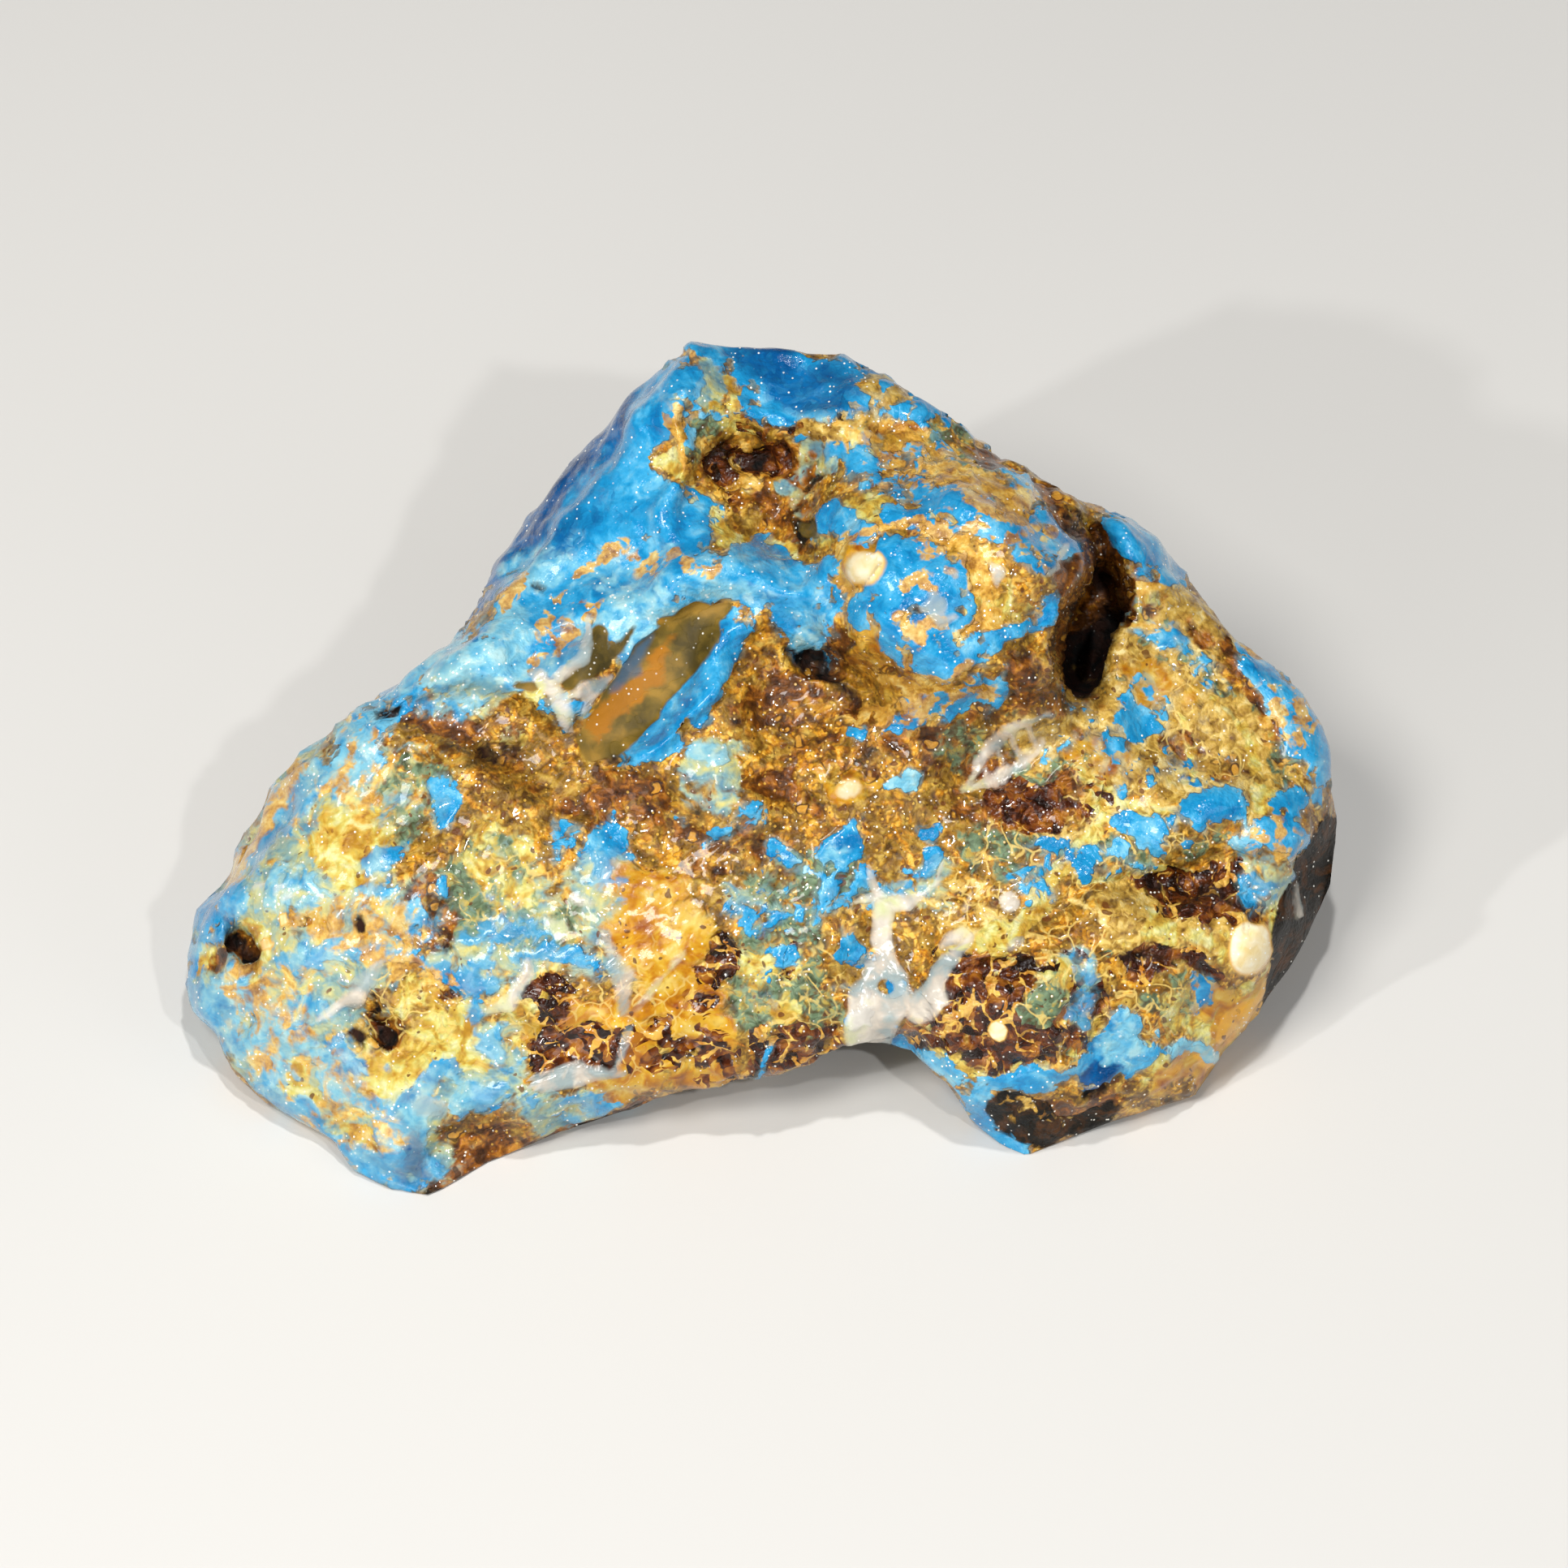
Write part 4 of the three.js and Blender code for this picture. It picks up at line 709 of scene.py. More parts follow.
# %% Lines of the scoop and the yellow ribs
# strength, then the line's corners: right, up, and the half-width it has there
STROKES = {}
STROKES["glass"] = [
    (1.2, (-4.3, 8.6, 1.5), (-6.3, 6.5, 1.85), (-7.7, 4.2, 1.75), (-9.3, 2.2, 1.5), (-10.5, 1.3, 0.9)),
    (1.2, (-4.2, 8.6, 1.2), (-2.2, 9.6, 0.2)), (1.1, (-4.2, 8.8, 1.0), (-6.6, 9.0, 0.2)),
    (1.1, (-9.9, 8.2, 0.5), (-10.1, 6.6, 0.8), (-11.6, 5.1, 0.4)),
    (1.0, (-7.9, 8.7, 0.1), (-9.2, 7.0, 0.3)), (1.0, (-15.2, 5.1, 0.3), (-14.0, 4.8, 0.4)),
    (1.1, (2.5, 15.0, 0.45), (3.2, 14.8, 0.5)),
]
STROKES["honey"] = [
    (1.2, (-5.7, 8.4, 0.2), (-6.2, 7.0, 0.6), (-7.6, 4.8, 0.9), (-10.0, 2.6, 0.8)),
]
STROKES["teal"] = [
    (1.3, (-6.8, 8.2, 0.2), (-7.9, 6.8, 0.5), (-9.0, 4.9, 0.4)),
]
STROKES["yellow"] = [
    (1.2, (-33.6, -10.9, 0.15), (-34.2, -11.7, 0.35), (-34.8, -12.4, 0.1)),
    (1.15, (-29.6, -19.0, 0.2), (-28.2, -20.2, 0.5), (-26.8, -20.9, 0.3), (-26.0, -22.0, 0.3),
     (-24.0, -22.5, 0.5)),
    (1.0, (-33.6, -8.9, 0.2), (-32.4, -9.2, 0.3), (-31.2, -9.8, 0.5), (-30.4, -11.6, 0.5),
     (-31.4, -12.7, 0.4)),
    (1.1, (21.2, -1.6, 0.2), (20.3, -4.0, 0.5), (18.4, -6.6, 0.6), (16.0, -8.8, 0.55),
     (13.8, -10.4, 0.6), (11.0, -11.4, 0.3)),
    (0.95, (18.4, -6.6, 0.5), (21.0, -7.0, 0.45), (25.0, -6.6, 0.4), (28.6, -6.8, 0.2)),
    (1.0, (31.6, -8.2, 0.3), (31.2, -11.0, 0.5), (31.0, -13.8, 0.6), (29.6, -15.8, 0.3)),
    (0.9, (10.2, -15.2, 0.2), (10.6, -17.2, 0.5), (12.4, -18.4, 0.6), (16.8, -18.2, 0.3)),
    (0.95, (17.4, -11.8, 0.2), (18.4, -14.0, 0.4), (18.8, -17.6, 0.3)),
    (0.95, (19.6, -13.0, 0.2), (20.6, -16.0, 0.4), (20.2, -17.6, 0.2)),
    (0.9, (14.2, -11.6, 0.4), (16.8, -12.4, 0.35), (19.8, -12.6, 0.3)),
    (0.95, (13.0, -18.0, 0.3), (16.0, -16.6, 0.35), (18.4, -15.4, 0.3)),
    (0.85, (-18.8, -4.6, 0.2), (-17.2, -6.6, 0.45), (-15.8, -9.2, 0.2)),
    (0.85, (-13.6, -5.8, 0.2), (-15.4, -8.0, 0.4), (-16.4, -9.6, 0.2)),
    (0.85, (25.4, 3.6, 0.2), (26.4, 1.0, 0.45), (25.6, -0.6, 0.3)),
    (0.85, (27.6, 4.2, 0.2), (29.8, 1.6, 0.4), (30.6, -0.6, 0.4)),
    (0.9, (-4.6, 17.6, 0.5), (-3.6, 15.6, 0.6), (-1.6, 13.4, 0.6), (1.6, 13.0, 0.5), (3.6, 14.0, 0.5)),
    (1.0, (-3.1, 22.3, 0.3), (-2.4, 21.5, 0.4), (-0.6, 20.9, 0.3), (0.8, 20.8, 0.2)),
    (1.0, (-3.2, 19.4, 0.2), (-2.2, 18.0, 0.2), (-1.2, 17.1, 0.35), (0.8, 16.8, 0.2)),
]
print(sum(map(len, STROKES.values())), "lines so far")

# %% Lines of rust, veils and cracks
STROKES["rust"] = [
    (1.0, (-33.4, -12.1, 0.25), (-34.8, -12.6, 0.1)), (1.0, (-32.8, -9.3, 0.1), (-31.6, -9.7, 0.2)),
    (1.1, (-5.3, 22.4, 0.2), (-5.2, 21.4, 0.45)), (1.1, (-5.8, 20.7, 0.15), (-5.2, 20.5, 0.5)),
    (1.15, (-1.8, 20.9, 0.12), (-1.3, 19.6, 0.16), (-1.5, 18.2, 0.14), (-0.3, 16.9, 0.2)),
    (1.1, (-3.1, 18.9, 0.12), (-2.2, 17.8, 0.18), (-0.9, 17.2, 0.14)),
    (1.1, (-5.0, 19.7, 0.2), (-4.5, 18.9, 0.5), (-4.2, 17.9, 0.3)),
    (1.0, (-3.3, 20.4, 0.3), (-2.6, 19.6, 0.2)), (1.0, (23.4, 10.9, 0.5), (24.8, 11.0, 0.3)),
    (0.95, (23.0, 9.1, 0.2), (24.4, 8.6, 0.25)),
    (1.0, (-28.8, 0.0, 0.3), (-31.4, -4.2, 0.6), (-33.2, -7.0, 0.5)),
    (0.95, (-14.6, 12.0, 0.2), (-16.2, 9.8, 0.5)), (0.8, (-11.8, 11.6, 0.2), (-8.4, 13.6, 0.4)),
    (0.85, (-27.4, -1.4, 0.2), (-25.6, 0.6, 0.4)), (0.85, (-24.4, -1.6, 0.4), (-22.4, 0.4, 0.2)),
    (0.8, (-26.6, -0.2, 0.3), (-24.8, 1.8, 0.2)),
    (0.9, (8.8, 10.6, 0.2), (9.6, 11.4, 0.45), (10.0, 10.7, 0.2)),
    (1.0, (12.2, 17.0, 0.4), (14.4, 15.4, 0.7), (16.6, 16.4, 0.3)),
    (0.9, (15.4, 15.4, 0.3), (16.2, 14.6, 0.3)),
    (0.9, (10.0, 18.6, 0.5), (13.6, 17.4, 0.5), (16.6, 15.8, 0.4)),
    (0.9, (7.4, 5.4, 0.4), (10.4, 5.3, 0.6), (12.6, 6.2, 0.3)),
    (0.9, (8.2, 8.6, 0.2), (9.6, 7.8, 0.55), (10.8, 8.6, 0.3)),
    (0.95, (4.4, 13.4, 0.4), (7.2, 14.6, 0.25), (9.4, 15.0, 0.4), (11.8, 13.4, 0.5), (13.0, 11.2, 0.9)),
    (0.9, (5.0, 11.2, 0.6), (5.6, 10.4, 0.6)), (0.85, (13.4, 9.2, 0.9), (12.0, 8.2, 0.4)),
]
STROKES["veil_and_sheen"] = [
    (1.3, (-10.7, 9.0, 0.08), (-10.7, 7.6, 0.25), (-11.0, 6.5, 0.3), (-12.7, 5.1, 0.1)),
    (1.2, (-14.3, 6.0, 0.25), (-13.3, 5.3, 0.5), (-12.3, 4.4, 0.42), (-11.8, 3.0, 0.42), (-11.6, 2.1, 0.2)),
    (1.1, (-11.9, 4.3, 0.1), (-10.6, 4.7, 0.5), (-9.3, 5.5, 0.15)),
    (1.1, (-10.6, 4.5, 0.5), (-10.9, 2.9, 0.05)),
    (1.1, (-27.0, -15.7, 0.2), (-25.2, -14.4, 0.6), (-23.1, -12.1, 0.15)),
    (1.0, (-25.9, -13.1, 0.15), (-24.4, -13.2, 0.3), (-23.6, -12.6, 0.2)),
    (1.2, (-14.0, -19.5, 0.4), (-12.8, -19.2, 0.6), (-11.2, -18.8, 0.7), (-10.0, -18.7, 0.45),
     (-8.4, -18.6, 0.15)),
    (1.0, (-14.4, -11.8, 0.15), (-14.6, -13.2, 0.35), (-15.5, -14.5, 0.5), (-17.0, -15.1, 0.15)),
    (0.9, (-13.0, -9.4, 0.5), (-12.2, -9.9, 0.5)),
    (1.1, (-8.9, -18.4, 0.1), (-8.3, -16.6, 0.25), (-7.9, -15.2, 0.1)),
    (1.2, (9.7, -14.6, 1.0), (10.6, -12.9, 0.7), (11.6, -11.6, 0.35), (12.6, -10.1, 0.1)),
    (1.1, (10.9, -11.1, 0.2), (11.5, -10.4, 0.4), (12.2, -9.8, 0.25)),
    (0.9, (12.1, -8.5, 0.2), (12.8, -7.6, 0.1)),
    (1.15, (5.4, -8.6, 0.05), (6.8, -8.1, 0.3), (7.7, -8.5, 0.75), (8.7, -8.5, 0.45), (9.7, -7.9, 0.08)),
    (0.95, (9.6, -7.9, 0.1), (10.4, -7.4, 0.15), (10.8, -6.1, 0.08)),
    (1.2, (6.9, -5.8, 0.05), (7.05, -7.3, 0.2), (7.4, -8.6, 0.7), (7.4, -9.8, 0.55), (7.2, -11.4, 0.5),
     (7.2, -13.0, 1.2), (7.0, -14.6, 1.9), (6.4, -16.4, 1.8)),
    (1.0, (10.2, 10.4, 0.2), (9.9, 9.2, 0.35), (10.7, 8.5, 0.35), (11.3, 9.2, 0.2)),
    (1.1, (18.3, 13.5, 0.12), (17.9, 12.8, 0.2), (18.1, 12.1, 0.16), (17.2, 11.9, 0.12)),
    (1.0, (17.1, 14.0, 0.14), (16.9, 13.0, 0.12)),
    (1.0, (13.6, 12.4, 0.1), (14.1, 11.8, 0.5), (14.2, 11.0, 0.1)),
    # this pale line paints grey highlights on the dark right side
    (0.95, (33.0, -7.4, 0.2), (33.2, -9.0, 0.3)),
    (1.1, (12.3, -1.0, 0.1), (13.6, 0.9, 0.3), (15.4, 2.0, 0.3), (17.6, 3.0, 0.12)),
    (1.1, (12.2, -1.2, 0.15), (14.2, -0.4, 0.3), (16.0, 0.6, 0.3), (17.2, 1.6, 0.12)),
    (1.1, (13.2, 0.6, 0.15), (13.9, -0.5, 0.15)), (1.1, (14.2, 1.4, 0.16), (15.0, -0.1, 0.16)),
    (1.1, (15.3, 2.0, 0.16), (16.0, 0.6, 0.16)), (1.1, (16.4, 2.6, 0.14), (16.9, 1.2, 0.14)),
    (0.8, (-10.9, -18.2, 0.08), (-11.4, -17.0, 0.15), (-12.4, -16.2, 0.06)),
    (0.72, (-8.6, -15.0, 0.4), (-8.8, -12.4, 0.9), (-9.7, -10.4, 0.4)),
    (0.75, (-7.8, -14.8, 0.25), (-6.4, -12.6, 0.35), (-4.8, -10.9, 0.4)),
]
# black lines paint the shade in the crack under the saddle and in the furrows across the right
STROKES["black_and_hollow_shade"] = [
    (0.85, (1.2, 7.2, 0.2), (3.0, 6.9, 0.4), (4.4, 5.6, 0.5), (6.2, 4.0, 0.15)),
    (0.75, (-14.2, 11.2, 0.3), (-13.0, 10.6, 0.2)),
    (0.7, (24.0, -7.4, 0.2), (27.0, -7.8, 0.45), (30.6, -8.6, 0.2)),
    (0.7, (20.6, -11.4, 0.2), (24.0, -11.8, 0.4), (27.8, -12.2, 0.2)),
]
print(sum(map(len, STROKES.values())), "lines in all")

# %% [markdown]
# ## Chance, steadiness and clear places
# Nobody can say what the hidden side looks like, so there each finish turns up by chance. On the
# face, slow clouds push the marks about, but a small sharp feature has to stay where it was put. A
# few places are kept clear of a finish, so that the ring round the cave or the bead can be seen.

# %% Chance, steadiness and clear places
# on the hidden side: how common a finish is, and how large its patches are in millimetres
BACK_COVER = {
    "blue": (0.62, 9.0), "deep": (0.45, 12.0), "pale": (0.35, 7.0),
    "milk": (0.42, 8.0), "teal": (0.40, 6.0), "sand": (0.42, 8.0), "yellow": (0.34, 5.0),
    "honey": (0.34, 6.0), "brown_stain_and_shade": (0.50, 7.0), "glass": (0.20, 9.0), "dark": (0.42, 12.0),
    "cell": (0.34, 7.0), "veil_and_sheen": (0.30, 5.0), "pearl": (0.0, 5.0), "black_and_hollow_shade": (0.20, 4.0),
    "vein": (0.5, 8.0), "rust": (0.3, 4.0),
}
# the share of the push that a finish feels, where it is not the whole of it
STEADY = {"glass": 0.2, "dark": 0.5, "veil_and_sheen": 0.25, "pearl": 0.15, "black_and_hollow_shade": 0.5}
# ellipses that a finish keeps clear of
CLEAR = {
    "cell": [(16.4, -13.8, 1.8, 1.3, 20)],
    "blue": [
        (-32.5, -10.9, 2.2, 1.4, -40), (-34.2, -11.7, 0.5, 1.0, -35), (-25.0, -9.3, 1.2, 1.0, 0),
        (-23.4, -15.8, 2.0, 2.0, 0), (-4.9, 20.0, 0.8, 2.4, 5), (-3.9, 23.5, 1.1, 1.2, 0),
        (-1.0, 18.6, 2.6, 2.4, 0), (-28.2, -20.2, 1.8, 0.6, -38), (-26.2, -21.7, 0.5, 1.0, 20),
        (-24.6, -22.7, 1.3, 0.55, -15),
    ],
    "rust": [(-32.5, -10.9, 1.2, 0.8, -40)],
    "milk": [(-32.5, -10.9, 1.6, 1.0, -40)],
    "veil_and_sheen": [(7.25, -13.5, 0.6, 0.5, 0)],
}
print("kept clear:", ", ".join(CLEAR))

# %% [markdown]
# ## From marks to fields
# Each finish becomes one number per point: the strength of the strongest mark there. Past the rim it
# fades into the chance pattern. Taking the strongest, not the sum, keeps overlapping marks from
# swelling where they meet.

# %% Fields on the points
# a mark's edge: how steep a spot's is, and how much a line gains in a millimetre
SPOT_EDGE, LINE_EDGE = 2.0, 1.1
FAR_OUTSIDE = -99.0


def stroke(right, up, *corners):
    """Line with width: a half at its edge, rising inwards and falling outwards at a steady slope."""
    inside = np.full(len(right), FAR_OUTSIDE)
    for (right_a, up_a, half_a), (right_b, up_b, half_b) in zip(corners[:-1], corners[1:]):
        run, climb = right_b - right_a, up_b - up_a
        along = ((right - right_a) * run + (up - up_a) * climb) / (run * run + climb * climb)
        along = np.clip(along, 0, 1)
        distance = np.hypot(right - right_a - along * run, up - up_a - along * climb)
        inside = np.maximum(inside, half_a + (half_b - half_a) * along - distance)
    return np.clip(0.5 + LINE_EDGE * inside, 0, 1)


# a place on the skin as seen square on: depth counts for half, as films run down steep slopes
DRAWN_OUT = 0.5
flow = np.stack([right, up, DRAWN_OUT * depth], -1)
# the marks are looked up a little to one side, by slow clouds, so that no patch is a true ellipse
PUSH, PUSH_SIZE = 2.4, 3.2
push_right = PUSH * cloud(flow, PUSH_SIZE, 201, 3)
push_up = PUSH * cloud(flow, PUSH_SIZE, 202, 3)
# lines are pushed less than spots, or a thin one would break up
LINE_PUSH = 0.3
# past this share of the way to the back, and over this much of it, chance takes over
RIM_SHARE, FADE_SHARE = 0.52, 0.10
# how far the clouds swing a chance pattern up and down, and the most it can reach
CHANCE_SWING, CHANCE_TOP = 0.9, 1.2


def cover(name, share, place):
    """The strongest of a finish's marks on the face, fading past the rim into a chance pattern."""
    pushed = STEADY.get(name, 1.0)
    face_right, face_up = right + pushed * push_right, up + pushed * push_up
    front = np.zeros(len(place))
    for *ellipse, strength in PATCHES[name]:
        front = np.maximum(front, strength * spot(face_right, face_up, *ellipse, SPOT_EDGE))
    for strength, *corners in STROKES.get(name, []):
        line = stroke(right + LINE_PUSH * push_right, up + LINE_PUSH * push_up, *corners)
        front = np.maximum(front, strength * line)
    for ellipse in CLEAR.get(name, []):
        front = front * (1 - spot(face_right, face_up, *ellipse, SPOT_EDGE))
    common, size = BACK_COVER[name]
    seed = 100 + 7 * list(PATCHES).index(name)
    swing = CHANCE_SWING * cloud(place, size, seed, 2)
    hidden = np.clip(common + swing, 0, CHANCE_TOP) if common else 0 * front
    fade = np.clip((share - RIM_SHARE) / FADE_SHARE, 0, 1)
    return front + (hidden - front) * fade * fade * (3 - 2 * fade)


fields = {name: cover(name, shares, points) for name in PATCHES}
for name, field_values in fields.items():
    print(f"{name}: {100 * (field_values > 0.5).mean():.0f}% of the points")

# %% [markdown]
# ## Relief you can feel
# The azure skin is a film that sits proud of the crust, the crust is gritty, and the dark pockets
# are sunk. If only the shading said so, the outline would stay too smooth, so the points really
# move. Each one goes along its own normal, and the flat underside is left alone.

# %% Tools for the relief
def step(value, low, high):
    """Smooth ramp from 0 at low to 1 at high."""
    share = np.clip((value - low) / (high - low), 0, 1)
    return share * share * (3 - 2 * share)


# in a ragged edge: the weight of the clouds, that of the cells, and a cell's size against a cloud's
CLOUD_WEIGHT, CELL_WEIGHT, CELL_SIZE = 0.6, 0.35, 0.7


def ragged(name, size, amount):
    """A field with cloud and whole cells added, so that where it crosses one half is ragged.

    The grain fades out below a quarter of full cover, so that nothing turns up far from a mark.
    """
    seed = 300 + 11 * list(PATCHES).index(name)
    owner = cells(flow, CELL_SIZE * size, seed + 3)[1]
    grain = CLOUD_WEIGHT * cloud(flow, size, seed) + CELL_WEIGHT * (owner - 0.5)
    return fields[name] + amount * grain * np.clip(4 * fields[name], 0, 1)


def point_normals(place):
    """Unit normals at the points: the sum of the crossed diagonals of the quads that meet there."""
    first, second, third, fourth = (place[quads[:, k]] for k in range(4))
    crossed = np.cross(third - first, fourth - second)
    total = np.stack([
        np.bincount(quads.ravel(), np.repeat(crossed[:, axis], 4), len(place)) for axis in range(3)], -1)
    return total / np.linalg.norm(total, axis=1)[:, None]


print("longest normal:", np.linalg.norm(point_normals(points), axis=1).max().round(3))

# %% Ragged fields
# the size of a finish's rags in millimetres, and how strong they are
RAGS = {
    "blue": (1.3, 1.0), "deep": (3.0, 0.5), "pale": (2.5, 0.8), "milk": (2.4, 0.7),
    "teal": (1.8, 0.8), "sand": (2.0, 0.8), "yellow": (1.5, 0.8), "honey": (1.6, 0.5),
    "brown_stain_and_shade": (1.3, 0.8), "glass": (2.0, 0.08), "dark": (2.0, 0.3), "cell": (1.4, 0.4),
    "veil_and_sheen": (1.6, 0.3), "pearl": (1.0, 0.2), "black_and_hollow_shade": (0.9, 0.6), "vein": (2.0, 0.4),
    "rust": (1.0, 0.4),
}
for name, (size, amount) in RAGS.items():
    fields[name] = ragged(name, size, amount)
print("the highest ragged field:", max(values.max() for values in fields.values()).round(2))

# %% Relief
azure = step(fields["blue"], 0.42, 0.6) * (1 - step(fields["black_and_hollow_shade"], 0.4, 0.6))
azure = azure * (1 - step(fields["glass"], 0.2, 0.8))
glassy = np.maximum(step(fields["glass"], 0.2, 0.8), 0.7 * step(fields["dark"], 0.42, 0.6))
pocket = step(fields["cell"], 0.42, 0.65) * (1 - glassy)
crust = (1 - azure) * (1 - glassy) * (1 - step(fields["pearl"], 0.3, 0.6))
grit_distance = cells(points, 0.95, 71)[0]
pit_distance = cells(points, 1.5, 72)[0]
# each line is one kind of relief, in millimetres, where its finish lies
relief = (
    (1 - 0.8 * glassy) * 0.55 * cloud(points, 4.2, 73, 2)
    + crust * (0.20 * cloud(points, 1.5, 74, 3) + 0.18 * (0.5 - grit_distance))
    + azure * (0.16 + 0.26 * cloud(points, 1.9, 75, 2))
    - 0.25 * step(fields["brown_stain_and_shade"], 0.45, 0.8)
    - pocket * 0.42 * step(0.62 - pit_distance, 0.0, 0.3)
    + 0.10 * step(fields["veil_and_sheen"], 0.42, 0.6)
    - 0.25 * step(fields["black_and_hollow_shade"], 0.4, 0.7)
)
normals = point_normals(points)
relief *= step(points[:, 2], 0.1, 1.4)
points = points + normals * relief[:, None]
points[:, 2] = np.maximum(points[:, 2], 0)
# a closed skin's volume is a sixth of the sum of its triangles' triple products
first, second, third, fourth = (points[quads[:, k]] for k in range(4))
volume = (np.einsum("ij,ij->i", first, np.cross(second, third)).sum()
          + np.einsum("ij,ij->i", first, np.cross(third, fourth)).sum()) / 6
print(f"relief from {relief.min():.2f} to {relief.max():.2f} mm, volume {volume / 1000:.1f} cubic cm")

# %% [markdown]
# ## From arrays to a mesh
# Blender takes the points, the quads and every field in bulk. A field stored on the points is
# blended across each quad for free, and the material can read it by name.

# %% The lump
# no field goes higher than this: half as much again as full cover
FIELD_TOP = 1.5


def lump_mesh(name):
    """A mesh from the points in metres and the quads, smooth shaded, with one attribute per field."""
    mesh = bpy.data.meshes.new(name)
    mesh.vertices.add(len(points))
    mesh.vertices.foreach_set("co", (points * MM).astype(np.float32).ravel())
    mesh.loops.add(quads.size)
    mesh.loops.foreach_set("vertex_index", quads.astype(np.int32).ravel())
    mesh.polygons.add(len(quads))
    mesh.polygons.foreach_set("loop_start", np.arange(0, quads.size, 4, dtype=np.int32))
    mesh.update(calc_edges=True)
    mesh.polygons.foreach_set("use_smooth", np.ones(len(quads), bool))
    for field, values in fields.items():
        layer = mesh.attributes.new(field, "FLOAT", "POINT")
        layer.data.foreach_set("value", np.clip(values, 0, FIELD_TOP).astype(np.float32))
    mesh.validate()
    return mesh


lump = bpy.data.objects.new("blue_amber_lump", lump_mesh("blue_amber_lump"))
bpy.context.scene.collection.objects.link(lump)
print(lump.name, len(lump.data.vertices), "points,", len(lump.data.polygons), "quads")

# %% [markdown]
# ## Small tools for a big material
# A material with seventeen finishes is easier to read as a recipe than as a web of wires. These
# helpers each add one node and hand back its output, so the recipe can be written like a sum.

# %% Helpers for numbers
amber = bpy.data.materials.new("amber")
amber.use_nodes = True
tree = amber.node_tree
tree.nodes.clear()


def node(kind, inputs=None, **settings):
    """Adds a node, sets its properties, and wires or fills its inputs."""
    made = tree.nodes.new("ShaderNode" + kind)
    for key, value in settings.items():
        setattr(made, key, value)
    for key, value in (inputs or {}).items():
        if isinstance(value, bpy.types.NodeSocket):
            tree.links.new(value, made.inputs[key])
        else:
            made.inputs[key].default_value = value
    return made


def maths(operation, first, second=0.0):
    """One sum on numbers or outputs."""
    return node("Math", {0: first, 1: second}, operation=operation).outputs[0]


def add(first, second):
    """First plus second."""
    return maths("ADD", first, second)


def times(first, second):
    """First times second."""
    return maths("MULTIPLY", first, second)


def gone(mask):
    """One minus a mask: what it leaves uncovered."""
    return maths("SUBTRACT", 1.0, mask)


def either(first, second):
    """The larger of the two."""
    return maths("MAXIMUM", first, second)


def soft(value, low, high):
    """Smooth ramp from 0 at low to 1 at high, kept between 0 and 1."""
    made = node("MapRange", {0: value, 1: low, 2: high}, interpolation_type="SMOOTHSTEP")
    return made.outputs[0]


print("helpers for numbers ready")


# %% Helpers for colours
def linear(red, green, blue):
    """A colour as it looks on a screen, 0 to 255, turned into the light a renderer works with."""
    shown = np.array([red, green, blue]) / 255.0
    light = np.where(shown <= 0.04045, shown / 12.92, ((shown + 0.055) / 1.055) ** 2.4)
    return (*light.tolist(), 1.0)


def ramp(value, *stops):
    """A row of colours, each given as a place from 0 to 1 and a screen colour."""
    made = node("ValToRGB", {0: value})
    elements = made.color_ramp.elements
    for index, (place, colour) in enumerate(stops):
        element = elements[index] if index < 2 else elements.new(place)
        element.position, element.color = place, linear(*colour)
    return made.outputs[0]


def over(mask, top, below):
    """Lays one colour over another, as much as the mask says."""
    made = node("Mix", {0: mask, 6: below, 7: top}, data_type="RGBA")
    return made.outputs[2]


def blend(mask, top, below):
    """The same for plain numbers."""
    made = node("Mix", {0: mask, 2: below, 3: top}, data_type="FLOAT")
    return made.outputs[0]


print("helpers for colours ready")


# %% Helpers for noise and fields
def noise(place, scale, detail, roughness):
    """Cloudy noise: one number, and three more in its colour."""
    made = node("TexNoise", {"Vector": place, "Scale": scale, "Detail": detail, "Roughness": roughness})
    parts = node("SeparateColor", {0: made.outputs[1]}).outputs
    return made.outputs[0], parts[0], parts[1], parts[2]


def grains(place, scale):
    """Cellular noise: the distance to the cell's point, and three random numbers for the cell."""
    made = node("TexVoronoi", {"Vector": place, "Scale": scale}, feature="F1")
    parts = node("SeparateColor", {0: made.outputs[1]}).outputs
    return made.outputs[0], parts[0], parts[1], parts[2]


def walls(place, scale):
    """Cellular noise: the distance to the wall between two cells."""
    return node("TexVoronoi", {"Vector": place, "Scale": scale}, feature="DISTANCE_TO_EDGE").outputs[0]


def field(name):
    """A field stored on the points."""
    return node("Attribute", attribute_name=name).outputs["Fac"]


print("helpers for noise and fields ready")

# %% [markdown]
# ## Ragged edges
# The fields are smooth between points, but worn resin ends in a ragged coast of islands. We add
# fine noise to a field before cutting it at one half. The noise is read at a place that has been
# pushed about by a slower noise, so that the islands look torn, not printed.

# %% Places
metres = node("TexCoord").outputs["Object"]
PER_METRE = 1000


def along(direction):
    """How far the place lies along a direction, as a number."""
    return node("VectorMath", {0: metres, 1: direction}, operation="DOT_PRODUCT").outputs["Value"]


# the face's own directions in millimetres, with depth drawn out as it was for the fields
place = node("CombineXYZ", {
    0: along((PER_METRE, 0, 0)),
    1: along((0, PER_METRE * SIN, PER_METRE * COS)),
    2: along((0, -PER_METRE * DRAWN_OUT * COS, PER_METRE * DRAWN_OUT * SIN)),
}).outputs[0]


